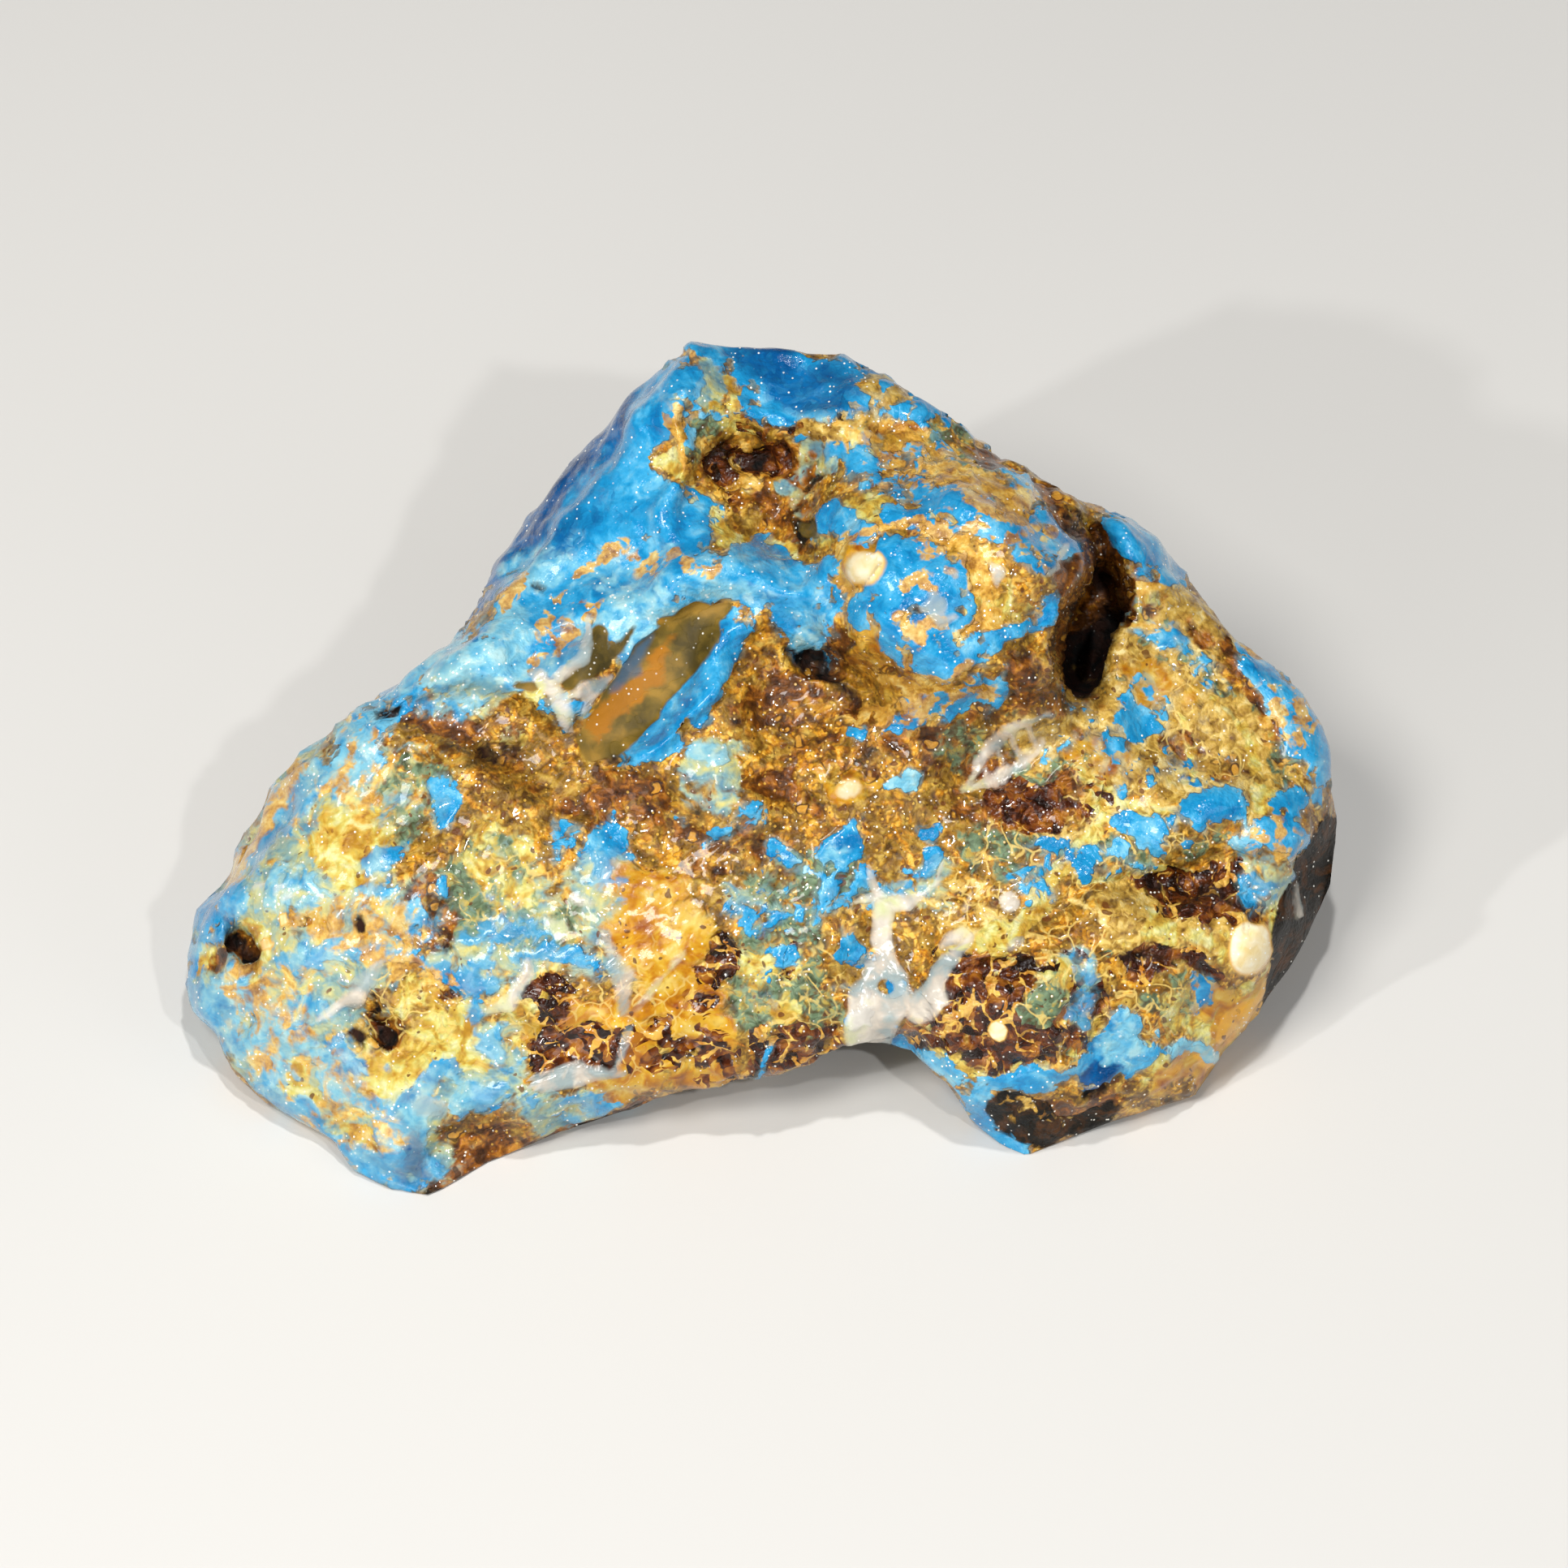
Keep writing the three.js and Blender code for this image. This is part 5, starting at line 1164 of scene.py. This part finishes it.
def pushed(start, scale, reach, detail=2.0):
    """A place pushed about by a noise of that scale, by about that reach in millimetres."""
    drift = node("TexNoise", {"Vector": start, "Scale": scale, "Detail": detail}).outputs[1]
    drift = node("VectorMath", {0: drift, 1: (0.5, 0.5, 0.5)}, operation="SUBTRACT").outputs[0]
    drift = node("VectorMath", {0: drift, 3: 2 * reach}, operation="SCALE").outputs[0]
    return node("VectorMath", {0: start, 1: drift}, operation="ADD").outputs[0]


torn = pushed(place, 1.1, 0.5, 1.0)
swirl = pushed(place, 0.35, 2.2)
print("nodes so far:", len(tree.nodes))

# %% [markdown]
# ## A handful of noises
# Every noise costs time at each shaded point, so the whole material shares a few. The scale is how
# many clouds or cells fit in a millimetre. Each noise also gives three numbers of its own, which
# stand in for three more noises.

# %% Noises
# ragged clouds under a millimetre, and larger ones that swirl
coast = noise(torn, 1.2, 2.0, 0.45)
island = noise(swirl, 0.8, 2.0, 0.55)
# cells of half a millimetre, and of a third
flake = grains(torn, 1.9)
fleck = grains(place, 3.2)
# slow clouds of several millimetres, and the finest dust
sheet = noise(place, 0.28, 2.0, 0.55)
dust = noise(place, 4.5, 1.0, 0.6)
# half torn, half swirled: a place for bent cells
bent = node("Mix", {"Factor": 0.5, 4: torn, 5: swirl}, data_type="VECTOR").outputs[1]
shard = grains(bent, 1.2)
print("nodes so far:", len(tree.nodes))

# %% [markdown]
# ## Masks
# A mask says, from 0 to 1, how much of a finish covers a point. It is a field plus noise, cut at one
# half. The width of the cut makes an edge crisp, as on the azure film, or soft, as in milky resin. A
# glassy or pearly finish gets little noise, because its real edge is smooth. Where a field is close
# to nothing the noise fades out, or stray islands would turn up far from any mark.

# %% Masks
def patch(name, coast_noise, flake_noise, width, coast_amount=1.7, flake_amount=0.18):
    """A mask from a field: add the centred noises, then cut at one half, soft over the width."""
    rough = times(add(coast_noise, -0.5), coast_amount)
    rough = add(rough, times(add(flake_noise, -0.5), flake_amount))
    near = soft(field(name), 0.05, 0.4)
    above_half = add(add(field(name), times(rough, near)), -0.5)
    return soft(maths("DIVIDE", above_half, width), -1.0, 1.0)


milky = patch("milk", island[2], flake[3], 0.25)
edge_width = blend(milky, 0.17, 0.08)
masks = {
    "blue": patch("blue", blend(milky, island[3], coast[1]), flake[1], edge_width),
    "haze": patch("blue", coast[2], flake[3], 0.4, 1.2),
    "deep": patch("deep", island[1], flake[2], 0.3, 1.0),
    "pale": patch("pale", coast[2], flake[3], 0.35),
    "milk": milky,
    "teal": patch("teal", coast[2], flake[2], 0.2),
    "sand": patch("sand", coast[3], flake[3], 0.15),
    "yellow": patch("yellow", island[3], flake[1], 0.2),
    "honey": patch("honey", coast[1], flake[2], 0.25, 0.8),
    "brown_stain_and_shade": patch("brown_stain_and_shade", coast[3], flake[3], 0.3),
    "glass": patch("glass", coast[2], flake[1], 0.14, 0.25, 0.0),
    "dark": patch("dark", coast[2], flake[1], 0.12, 0.6),
    "cell": patch("cell", coast[3], shard[2], 0.08, 0.7, 0.8),
    "veil_and_sheen": patch("veil_and_sheen", coast[2], flake[1], 0.14, 0.35, 0.0),
    "pearl": patch("pearl", coast[2], flake[1], 0.15, 0.3, 0.0),
    "black_and_hollow_shade": patch("black_and_hollow_shade", coast[1], flake[3], 0.35, 1.0),
    "vein": patch("vein", island[1], flake[2], 0.2, 0.8),
    "rust": patch("rust", blend(milky, island[2], coast[3]), flake[2], edge_width, 1.2),
}
print("masks:", ", ".join(masks))

# %% [markdown]
# ## Colours of the crust
# No part of a natural stone has one flat colour. So every finish gets a row of colours, and a noise
# picks one from the row at each point. The plain crust is ochre with olive clouds, and the rusty
# flakes are gold.

# %% Colours of the crust
grit = grains(torn, 2.6)


def mix(*parts):
    """A half, plus each noise's distance from a half times its weight."""
    total = 0.5
    for value, weight in parts:
        total = add(total, times(add(value, -0.5), weight))
    return total


ochre_value = mix((island[0], 1.2), (sheet[0], 0.6), (grit[1], 0.3), (dust[0], 0.5))
ochre = ramp(ochre_value, (0.18, (72, 38, 8)), (0.34, (138, 80, 14)), (0.50, (186, 120, 24)),
             (0.66, (212, 152, 40)), (0.84, (230, 186, 84)))
olive = ramp(mix((coast[0], 1.2), (dust[0], 0.35)), (0.2, (60, 44, 14)), (0.5, (144, 106, 32)),
             (0.8, (198, 164, 74)))
gold = ramp(mix((island[0], 1.4), (dust[0], 0.4)), (0.2, (142, 92, 26)), (0.45, (198, 146, 52)),
            (0.6, (216, 172, 78)), (0.8, (232, 204, 124)))
print("ochre, olive and gold")

# %% [markdown]
# ## Colours of the blue film
# Blue is what makes this resin rare. The film is azure with slow clouds of a lighter blue, as its
# thickness changes. A deeper row is for the thick smooth parts, and also paints the shade of the steep
# strip on the left. It reads the same clouds as the azure, so the two pass into one another without a
# seam. A paler row is for thin film over milky resin.

# %% Colours of the blue film
azure_value = mix((sheet[0], 0.8), (island[0], 1.0), (dust[0], 0.15))
azure_colour = ramp(azure_value, (0.2, (8, 106, 162)), (0.42, (24, 136, 188)), (0.58, (56, 156, 202)),
                    (0.8, (124, 190, 214)))
# deep blue: thick film, and the painted shade of the steep strip on the left
deep_colour = ramp(azure_value, (0.2, (0, 46, 92)), (0.5, (0, 74, 130)), (0.8, (6, 106, 166)))
pale_colour = ramp(mix((coast[0], 1.2)), (0.2, (70, 152, 190)), (0.5, (120, 184, 204)),
                   (0.8, (172, 206, 206)))
print("azure, deep and pale")

# %% [markdown]
# ## Colours of milky resin, teal, sand and yellow
# These rows are wide: milky resin goes from grey-blue to pale yellow, and teal turns sandy at its
# upper end. A wide row read by one noise saves a separate mask for each of those tints.

# %% Colours of milky resin, teal, sand and yellow
milk_colour = ramp(mix((island[0], 1.6), (coast[2], 0.5)), (0.15, (88, 132, 150)), (0.38, (126, 158, 154)),
                   (0.55, (162, 174, 140)), (0.78, (198, 188, 112)))
teal_colour = ramp(mix((coast[1], 1.3), (grit[2], 0.25)), (0.15, (54, 60, 36)), (0.38, (86, 104, 76)),
                   (0.58, (116, 138, 106)), (0.78, (176, 154, 70)))
sand_colour = ramp(mix((coast[3], 1.2), (grit[1], 0.16), (dust[0], 0.25)), (0.2, (98, 68, 22)),
                   (0.4, (162, 124, 48)), (0.6, (204, 168, 80)), (0.8, (230, 208, 142)))
yellow_colour = ramp(mix((island[0], 1.6), (coast[3], 0.7)), (0.2, (172, 126, 34)),
                     (0.42, (198, 166, 66)), (0.56, (204, 194, 104)), (0.75, (216, 212, 152)))
print("milk, teal, sand and yellow")

# %% [markdown]
# ## Colours of honey and brown
# Honey resin is clear, and light from behind makes its thin edge glow. A true glow needs light that
# goes all the way through, which is slow to work out. So the field's strongest places, which lie
# along the thin edge, get a brighter yellow.

# %% Colours of honey and brown
honey_colour = ramp(mix((island[2], 1.4), (coast[2], 0.3)), (0.15, (152, 76, 6)), (0.4, (198, 130, 16)),
                    (0.6, (218, 168, 44)), (0.85, (234, 204, 104)))
edge_glow = times(soft(field("honey"), 1.1, 1.35), 0.75)
honey_colour = over(edge_glow, linear(255, 186, 36), honey_colour)
# brown: stains, and painted shade on the knob's wall, in the bowl's hole and on the lobes' fronts
brown_stain_and_shade_colour = ramp(mix((coast[1], 1.3), (dust[0], 0.3)), (0.2, (34, 17, 6)), (0.42, (86, 46, 12)),
                    (0.6, (144, 84, 20)), (0.8, (192, 128, 40)))
print("honey and brown")

# %% [markdown]
# ## Colours of the dark cells
# In the pockets the resin set as small dark cells, like a honeycomb, with pale walls between. The
# distance to the nearest wall draws them: close to it the colour is the wall's, farther off the
# cell's own. The walls get thicker and thinner with a cloud, so that some cells run together.

# %% Colours of the dark cells
web = walls(bent, 0.8)
cell_dark = ramp(mix((shard[1], 0.5), (coast[0], 1.4)), (0.2, (26, 10, 4)), (0.45, (66, 27, 8)),
                 (0.62, (106, 52, 14)), (0.82, (158, 98, 28)))
web_width = times(soft(island[1], 0.42, 0.76), gone(soft(field("brown_stain_and_shade"), 0.35, 0.7)))
web_width = add(times(web_width, 0.19), -0.04)
wall_colour = ramp(coast[0], (0.3, (176, 106, 20)), (0.7, (232, 192, 92)))
cell_rim = soft(maths("SUBTRACT", web, web_width), 0.0, 0.04)
cell_colour = over(cell_rim, cell_dark, wall_colour)
print("cells and their walls")

# %% [markdown]
# ## Colours of veils, windows and dark places
# A veil is a thin pale skin, so its colour has to cover less at its edge than in its middle; the same
# pale colour paints a few clusters of highlights. The scoop is a clear window: it shows olive resin,
# with a band of orange and a band of slate blue deeper down. The near-black of the dark finish paints
# the shade of the steep right side, and black paints the shade deep in the hollows. Pearly beads and
# the black in the hollows have hardly any pattern.

# %% Colours of veils, windows, dark places and painted shade
veil_and_sheen_colour = ramp(mix((sheet[0], 1.6), (island[0], 0.5)), (0.3, (150, 164, 164)), (0.45, (190, 182, 170)),
                   (0.6, (214, 206, 192)), (0.8, (202, 206, 160)))
veil_and_sheen_colour = over(times(soft(field("yellow"), 0.8, 1.1), 0.6), linear(206, 210, 132), veil_and_sheen_colour)
veil_and_sheen_cover = times(masks["veil_and_sheen"], blend(soft(field("veil_and_sheen"), 0.5, 1.0), 0.94, 0.55))
glass_colour = ramp(mix((sheet[0], 1.2), (coast[3], 0.5)), (0.3, (70, 58, 20)), (0.5, (104, 84, 28)),
                    (0.7, (146, 112, 40)))
orange_band = soft(add(field("honey"), times(add(island[1], -0.5), 2.2)), 0.3, 1.0)
glass_colour = over(times(orange_band, 0.75), linear(172, 106, 2), glass_colour)
glass_colour = over(times(soft(field("teal"), 0.3, 0.9), 0.8), linear(56, 88, 112), glass_colour)
# near-black: painted shade of the steep right side and the feet's fronts, and dark resin in the bowl
dark_colour = ramp(mix((island[1], 1.6), (dust[0], 0.3)), (0.2, (8, 6, 4)), (0.5, (26, 20, 12)),
                   (0.8, (78, 46, 18)))
# black: the painted shade deep in the hollows
black_and_hollow_shade_colour = ramp(coast[2], (0.38, (4, 3, 2)), (0.62, (40, 18, 7)))
pearl_colour = ramp(coast[0], (0.3, (236, 210, 144)), (0.7, (250, 240, 210)))
pearl_colour = over(soft(field("pearl"), 0.5, 0.9), pearl_colour, linear(220, 168, 76))
print("veil, window, dark, black and pearl")

# %% [markdown]
# ## Veins, bubbles, pips and painted glints
# The smallest things are drawn from the same cells as everything else. A point near a cell's middle
# is in a dot, and the cell's random number decides whether it has one. Bubbles are a dark ring round
# a light heart. The glints are painted highlights: white dots laid into the colour where light would
# leave its pinpricks on wet beads.

# %% Veins, bubbles, pips and painted glints
vein = times(gone(soft(web, 0.02, 0.075)), masks["vein"])
vein = times(vein, soft(island[3], 0.42, 0.5))
pip_size = times(flake[2], 0.36)
gaps = times(soft(grit[0], 0.4, 0.66), soft(island[3], 0.38, 0.56))
seeds = times(soft(fleck[0], 0.34, 0.22), soft(fleck[1], 0.2, 0.16))
pips = times(soft(maths("SUBTRACT", flake[0], pip_size), 0.1, 0.0), soft(flake[1], 0.74, 0.79))
crumbs = times(soft(fleck[0], 0.30, 0.2), times(soft(fleck[1], 0.72, 0.76), soft(island[2], 0.42, 0.52)))
bubble = grains(torn, 0.75)
bubble_on = times(soft(bubble[1], 0.6, 0.64), soft(field("brown_stain_and_shade"), 0.2, 0.45))
bubble_rim = times(soft(maths("ABSOLUTE", add(bubble[0], -0.3)), 0.07, 0.03), bubble_on)
bubble_heart = times(soft(bubble[0], 0.27, 0.2), bubble_on)
# painted highlights: white dots in clusters, for the pinpricks of light on wet resin
painted_glints = times(times(soft(fleck[0], 0.26, 0.16), soft(fleck[2], 0.70, 0.74)), soft(island[2], 0.42, 0.56))
stars = times(soft(bubble[0], 0.46, 0.36), soft(bubble[2], 0.6, 0.64))
stars = times(stars, times(soft(field("rust"), 0.15, 0.35), gone(masks["milk"])))
print("veins, gaps, seeds, pips, crumbs, bubbles, glints and stars")

# %% [markdown]
# ## Layers, from the crust up
# Now each colour is laid over the one below it, as much as its mask says. First come the crust and
# its stains, and small marks on the open crust only.

# %% Layers of the crust
colour = over(soft(island[1], 0.44, 0.64), ochre, olive)
colour = over(masks["milk"], milk_colour, colour)
colour = over(masks["teal"], teal_colour, colour)
colour = over(masks["sand"], sand_colour, colour)
colour = over(masks["yellow"], yellow_colour, colour)
colour = over(masks["honey"], honey_colour, colour)
colour = over(masks["brown_stain_and_shade"], brown_stain_and_shade_colour, colour)
plain = either(times(masks["honey"], 0.9), times(masks["milk"], 0.75))
plain = gone(either(plain, times(either(masks["sand"], masks["yellow"]), 0.65)))
colour = over(times(gaps, times(plain, 0.65)), linear(74, 42, 10), colour)
colour = over(times(seeds, times(plain, 0.7)), linear(226, 178, 72), colour)
colour = over(times(bubble_heart, 0.8), linear(206, 148, 52), colour)
colour = over(times(bubble_rim, 0.8), linear(64, 36, 12), colour)
colour = over(times(pips, 0.85), linear(96, 50, 14), colour)
colour = over(times(crumbs, times(plain, 0.8)), linear(70, 44, 16), colour)
colour = over(times(vein, 0.65), linear(232, 200, 112), colour)
colour = over(masks["cell"], cell_colour, colour)
print("crust laid down")

# %% [markdown]
# ## The film and what lies on it
# The azure film goes over the crust, a little see-through where it lies on milky resin. A faint haze
# round it blurs its coast. Pockets, windows, rusty flakes, veils and beads follow, and the glints are
# last: they are painted highlights, white dots laid into the colour where light catches the wet surface.

# %% Layers of the film and above
skin_colour = over(masks["pale"], pale_colour, azure_colour)
skin_colour = over(masks["deep"], deep_colour, skin_colour)
colour = over(times(masks["haze"], 0.5), over(0.4, milk_colour, pale_colour), colour)
colour = over(times(masks["blue"], blend(masks["milk"], 0.7, 1.0)), skin_colour, colour)
colour = over(masks["dark"], dark_colour, colour)
colour = over(masks["glass"], glass_colour, colour)
colour = over(times(either(masks["rust"], stars), 0.9), gold, colour)
colour = over(veil_and_sheen_cover, veil_and_sheen_colour, colour)
colour = over(masks["black_and_hollow_shade"], black_and_hollow_shade_colour, colour)
colour = over(masks["pearl"], pearl_colour, colour)
# more painted highlights: clusters of white dots on milky and pale resin, where light would sparkle
painted_sparkle = times(soft(fleck[0], 0.36, 0.24), times(soft(island[1], 0.54, 0.62), soft(coast[0], 0.5, 0.58)))
painted_sparkle = times(painted_sparkle, times(either(masks["milk"], masks["pale"]), 0.85))
dull = either(times(masks["glass"], 0.3), times(masks["black_and_hollow_shade"], 0.85))
painted_glints = times(either(painted_glints, painted_sparkle), gone(dull))
colour = over(painted_glints, linear(248, 246, 236), colour)
print("colours mixed")

# %% [markdown]
# ## Fine relief
# The last grains are too fine for points, so a bump gives them to the shading: the azure film
# stands proud of the crust, the crust is sandy, and windows, veils and beads stay calm. A bump works
# the height out three times at each point, so the height keeps to a few of the noises.

# %% Bump
height = times(masks["blue"], 0.35)
height = add(height, times(gone(masks["blue"]), times(maths("SUBTRACT", 0.6, grit[0]), 0.25)))
height = add(height, times(coast[0], 0.7))
height = add(height, times(dust[0], 0.18))
height = add(height, times(soft(field("dark"), 0.42, 0.58), add(0.4, times(grit[1], 0.6))))
height = maths("SUBTRACT", height, times(soft(field("cell"), 0.45, 0.7), times(grit[0], 0.5)))
calm = either(field("glass"), field("veil_and_sheen"))
calm = either(calm, either(field("pearl"), field("honey")))
calm = either(soft(calm, 0.42, 0.58), times(soft(field("milk"), 0.35, 0.65), 0.6))
height = times(add(height, -0.6), gone(times(calm, 0.8)))
bump = node("Bump", {"Height": height, "Strength": 0.75, "Distance": 0.4 * MM})
print("nodes so far:", len(tree.nodes))

# %% [markdown]
# ## Gloss and clearness
# Resin is smooth where it flowed and dull where it broke, so each finish has its own roughness. The
# wet look is a thin clear coat on top, left out in the windows and the dark hollows. Only the honey
# places, the scoop and, barely, the dark cells let light through: the rest of the skin is opaque.

# %% Gloss and clearness
rough = blend(masks["blue"], 0.22, 0.42)
rough = blend(masks["honey"], 0.3, rough)
rough = blend(masks["cell"], 0.2, rough)
rough = blend(masks["veil_and_sheen"], 0.16, rough)
rough = blend(masks["black_and_hollow_shade"], 0.8, rough)
rough = blend(masks["dark"], 0.5, rough)
rough = blend(masks["glass"], 0.6, rough)
rough = blend(masks["pearl"], 0.15, rough)
rough = add(rough, times(add(dust[0], -0.5), 0.12))
clear = blend(masks["glass"], 0.12, times(masks["honey"], 0.2))
clear = blend(masks["cell"], 0.04, clear)
clear = blend(masks["blue"], 0.0, clear)
bare = either(masks["glass"], either(masks["black_and_hollow_shade"], masks["dark"]))
coat = times(gone(bare), blend(masks["blue"], 0.62, 0.5))
print("nodes so far:", len(tree.nodes))

# %% [markdown]
# ## One shader for the whole lump
# All of it meets in one Principled shader. Values that are the same everywhere are typed on the
# shader itself: amber bends light by 1.54, and its coat is a little less dense and very smooth. Then
# the lump is tied to the CAD part: it rides on the root, and replaces the CAD node.

# %% Shader and the lump's place in the part
shader = node("BsdfPrincipled", {
    "Base Color": colour, "Roughness": rough, "IOR": 1.54, "Specular IOR Level": 0.18,
    "Transmission Weight": clear, "Coat Weight": coat, "Coat Roughness": 0.06, "Coat IOR": 1.42,
    "Normal": bump.outputs[0],
})
tree.links.new(shader.outputs[0], node("OutputMaterial").inputs[0])
lump.data.materials.append(amber)
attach(lump, "root")
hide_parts("amber_lump")
print("nodes in the material:", len(tree.nodes))

# %% [markdown]
# ## The floor
# A plain pale sheet, large enough that its edge never comes into view. It is part of the stage, not
# of the part, so it is left out when the model is taken elsewhere.

# %% Floor
REACH = 2
corners = [(-REACH, -REACH, 0), (REACH, -REACH, 0), (REACH, REACH, 0), (-REACH, REACH, 0)]
floor_mesh = bpy.data.meshes.new("floor")
floor_mesh.from_pydata(corners, [], [(0, 1, 2, 3)])
floor = bpy.data.objects.new("floor", floor_mesh)
bpy.context.scene.collection.objects.link(floor)
paper = bpy.data.materials.new("floor_paper")
paper.use_nodes = True
paper_shader = paper.node_tree.nodes["Principled BSDF"]
paper_shader.inputs["Base Color"].default_value = linear(206, 204, 200)
paper_shader.inputs["Roughness"].default_value = 0.9
floor_mesh.materials.append(paper)
print("floor", 2 * REACH, "m wide")

# %% [markdown]
# ## The lights
# One large soft light from the upper left, weaker ones from the right and from low in front, and
# three small bright ones that draw the pinprick glints you only see on wet resin. The room around is
# dim, so that the shadows stay soft but not empty.

# %% Lights
LUMP_MIDDLE = Vector((0, 0, 0.015))


def light(name, where, power, size, tint):
    """A square light of some size, in metres, aimed at the lump's middle."""
    data = bpy.data.lights.new(name, "AREA")
    data.energy, data.size, data.color = power, size, tint
    lamp = bpy.data.objects.new(name, data)
    lamp.location = where
    lamp.rotation_euler = (LUMP_MIDDLE - Vector(where)).to_track_quat("-Z", "Y").to_euler()
    bpy.context.scene.collection.objects.link(lamp)


light("key", (-0.16, -0.20, 0.44), 1.5, 0.14, (1.0, 0.98, 0.95))
light("fill", (0.34, -0.20, 0.26), 0.27, 0.24, (0.96, 0.98, 1.0))
light("front", (-0.16, -0.42, 0.10), 0.45, 0.20, (1.0, 0.99, 0.97))
light("glint", (0.02, -0.02, 0.46), 0.8, 0.02, (1.0, 1.0, 1.0))
light("glint_left", (-0.30, -0.24, 0.28), 0.55, 0.015, (1.0, 1.0, 1.0))
light("glint_right", (0.14, -0.26, 0.36), 0.45, 0.015, (1.0, 1.0, 1.0))
world = bpy.data.worlds.new("room")
bpy.context.scene.world = world
world.use_nodes = True
room = world.node_tree.nodes["Background"]
room.inputs["Color"].default_value = (0.85, 0.88, 0.92, 1)
room.inputs["Strength"].default_value = 0.12
print("lights:", ", ".join(data.name for data in bpy.data.lights))

# %% [markdown]
# ## The camera
# It looks straight at the broad face, along the face's own depth. A long lens from far away keeps
# the outline from bulging. How far away follows from how much should be in view: the width in view,
# times the lens length, over the sensor's width.

# %% Camera
WIDTH_IN_VIEW, LENS, SENSOR = 0.0966, 220, 36
CAMERA_AWAY = WIDTH_IN_VIEW * LENS / SENSOR
AIM_RIGHT, AIM_UP = 1.3, -1.05
aim = Vector(to_bench(AIM_RIGHT, AIM_UP, 0.0) * MM)
towards = Vector((0.0, -COS, SIN))
camera_data = bpy.data.cameras.new("camera")
camera_data.lens, camera_data.sensor_width = LENS, SENSOR
camera = bpy.data.objects.new("camera", camera_data)
camera.location = aim + towards * CAMERA_AWAY
camera.rotation_euler = (-towards).to_track_quat("-Z", "Y").to_euler()
bpy.context.scene.collection.objects.link(camera)
bpy.context.scene.camera = camera
bpy.context.scene.view_settings.view_transform = "Standard"
print("camera", round(CAMERA_AWAY, 3), "m away")
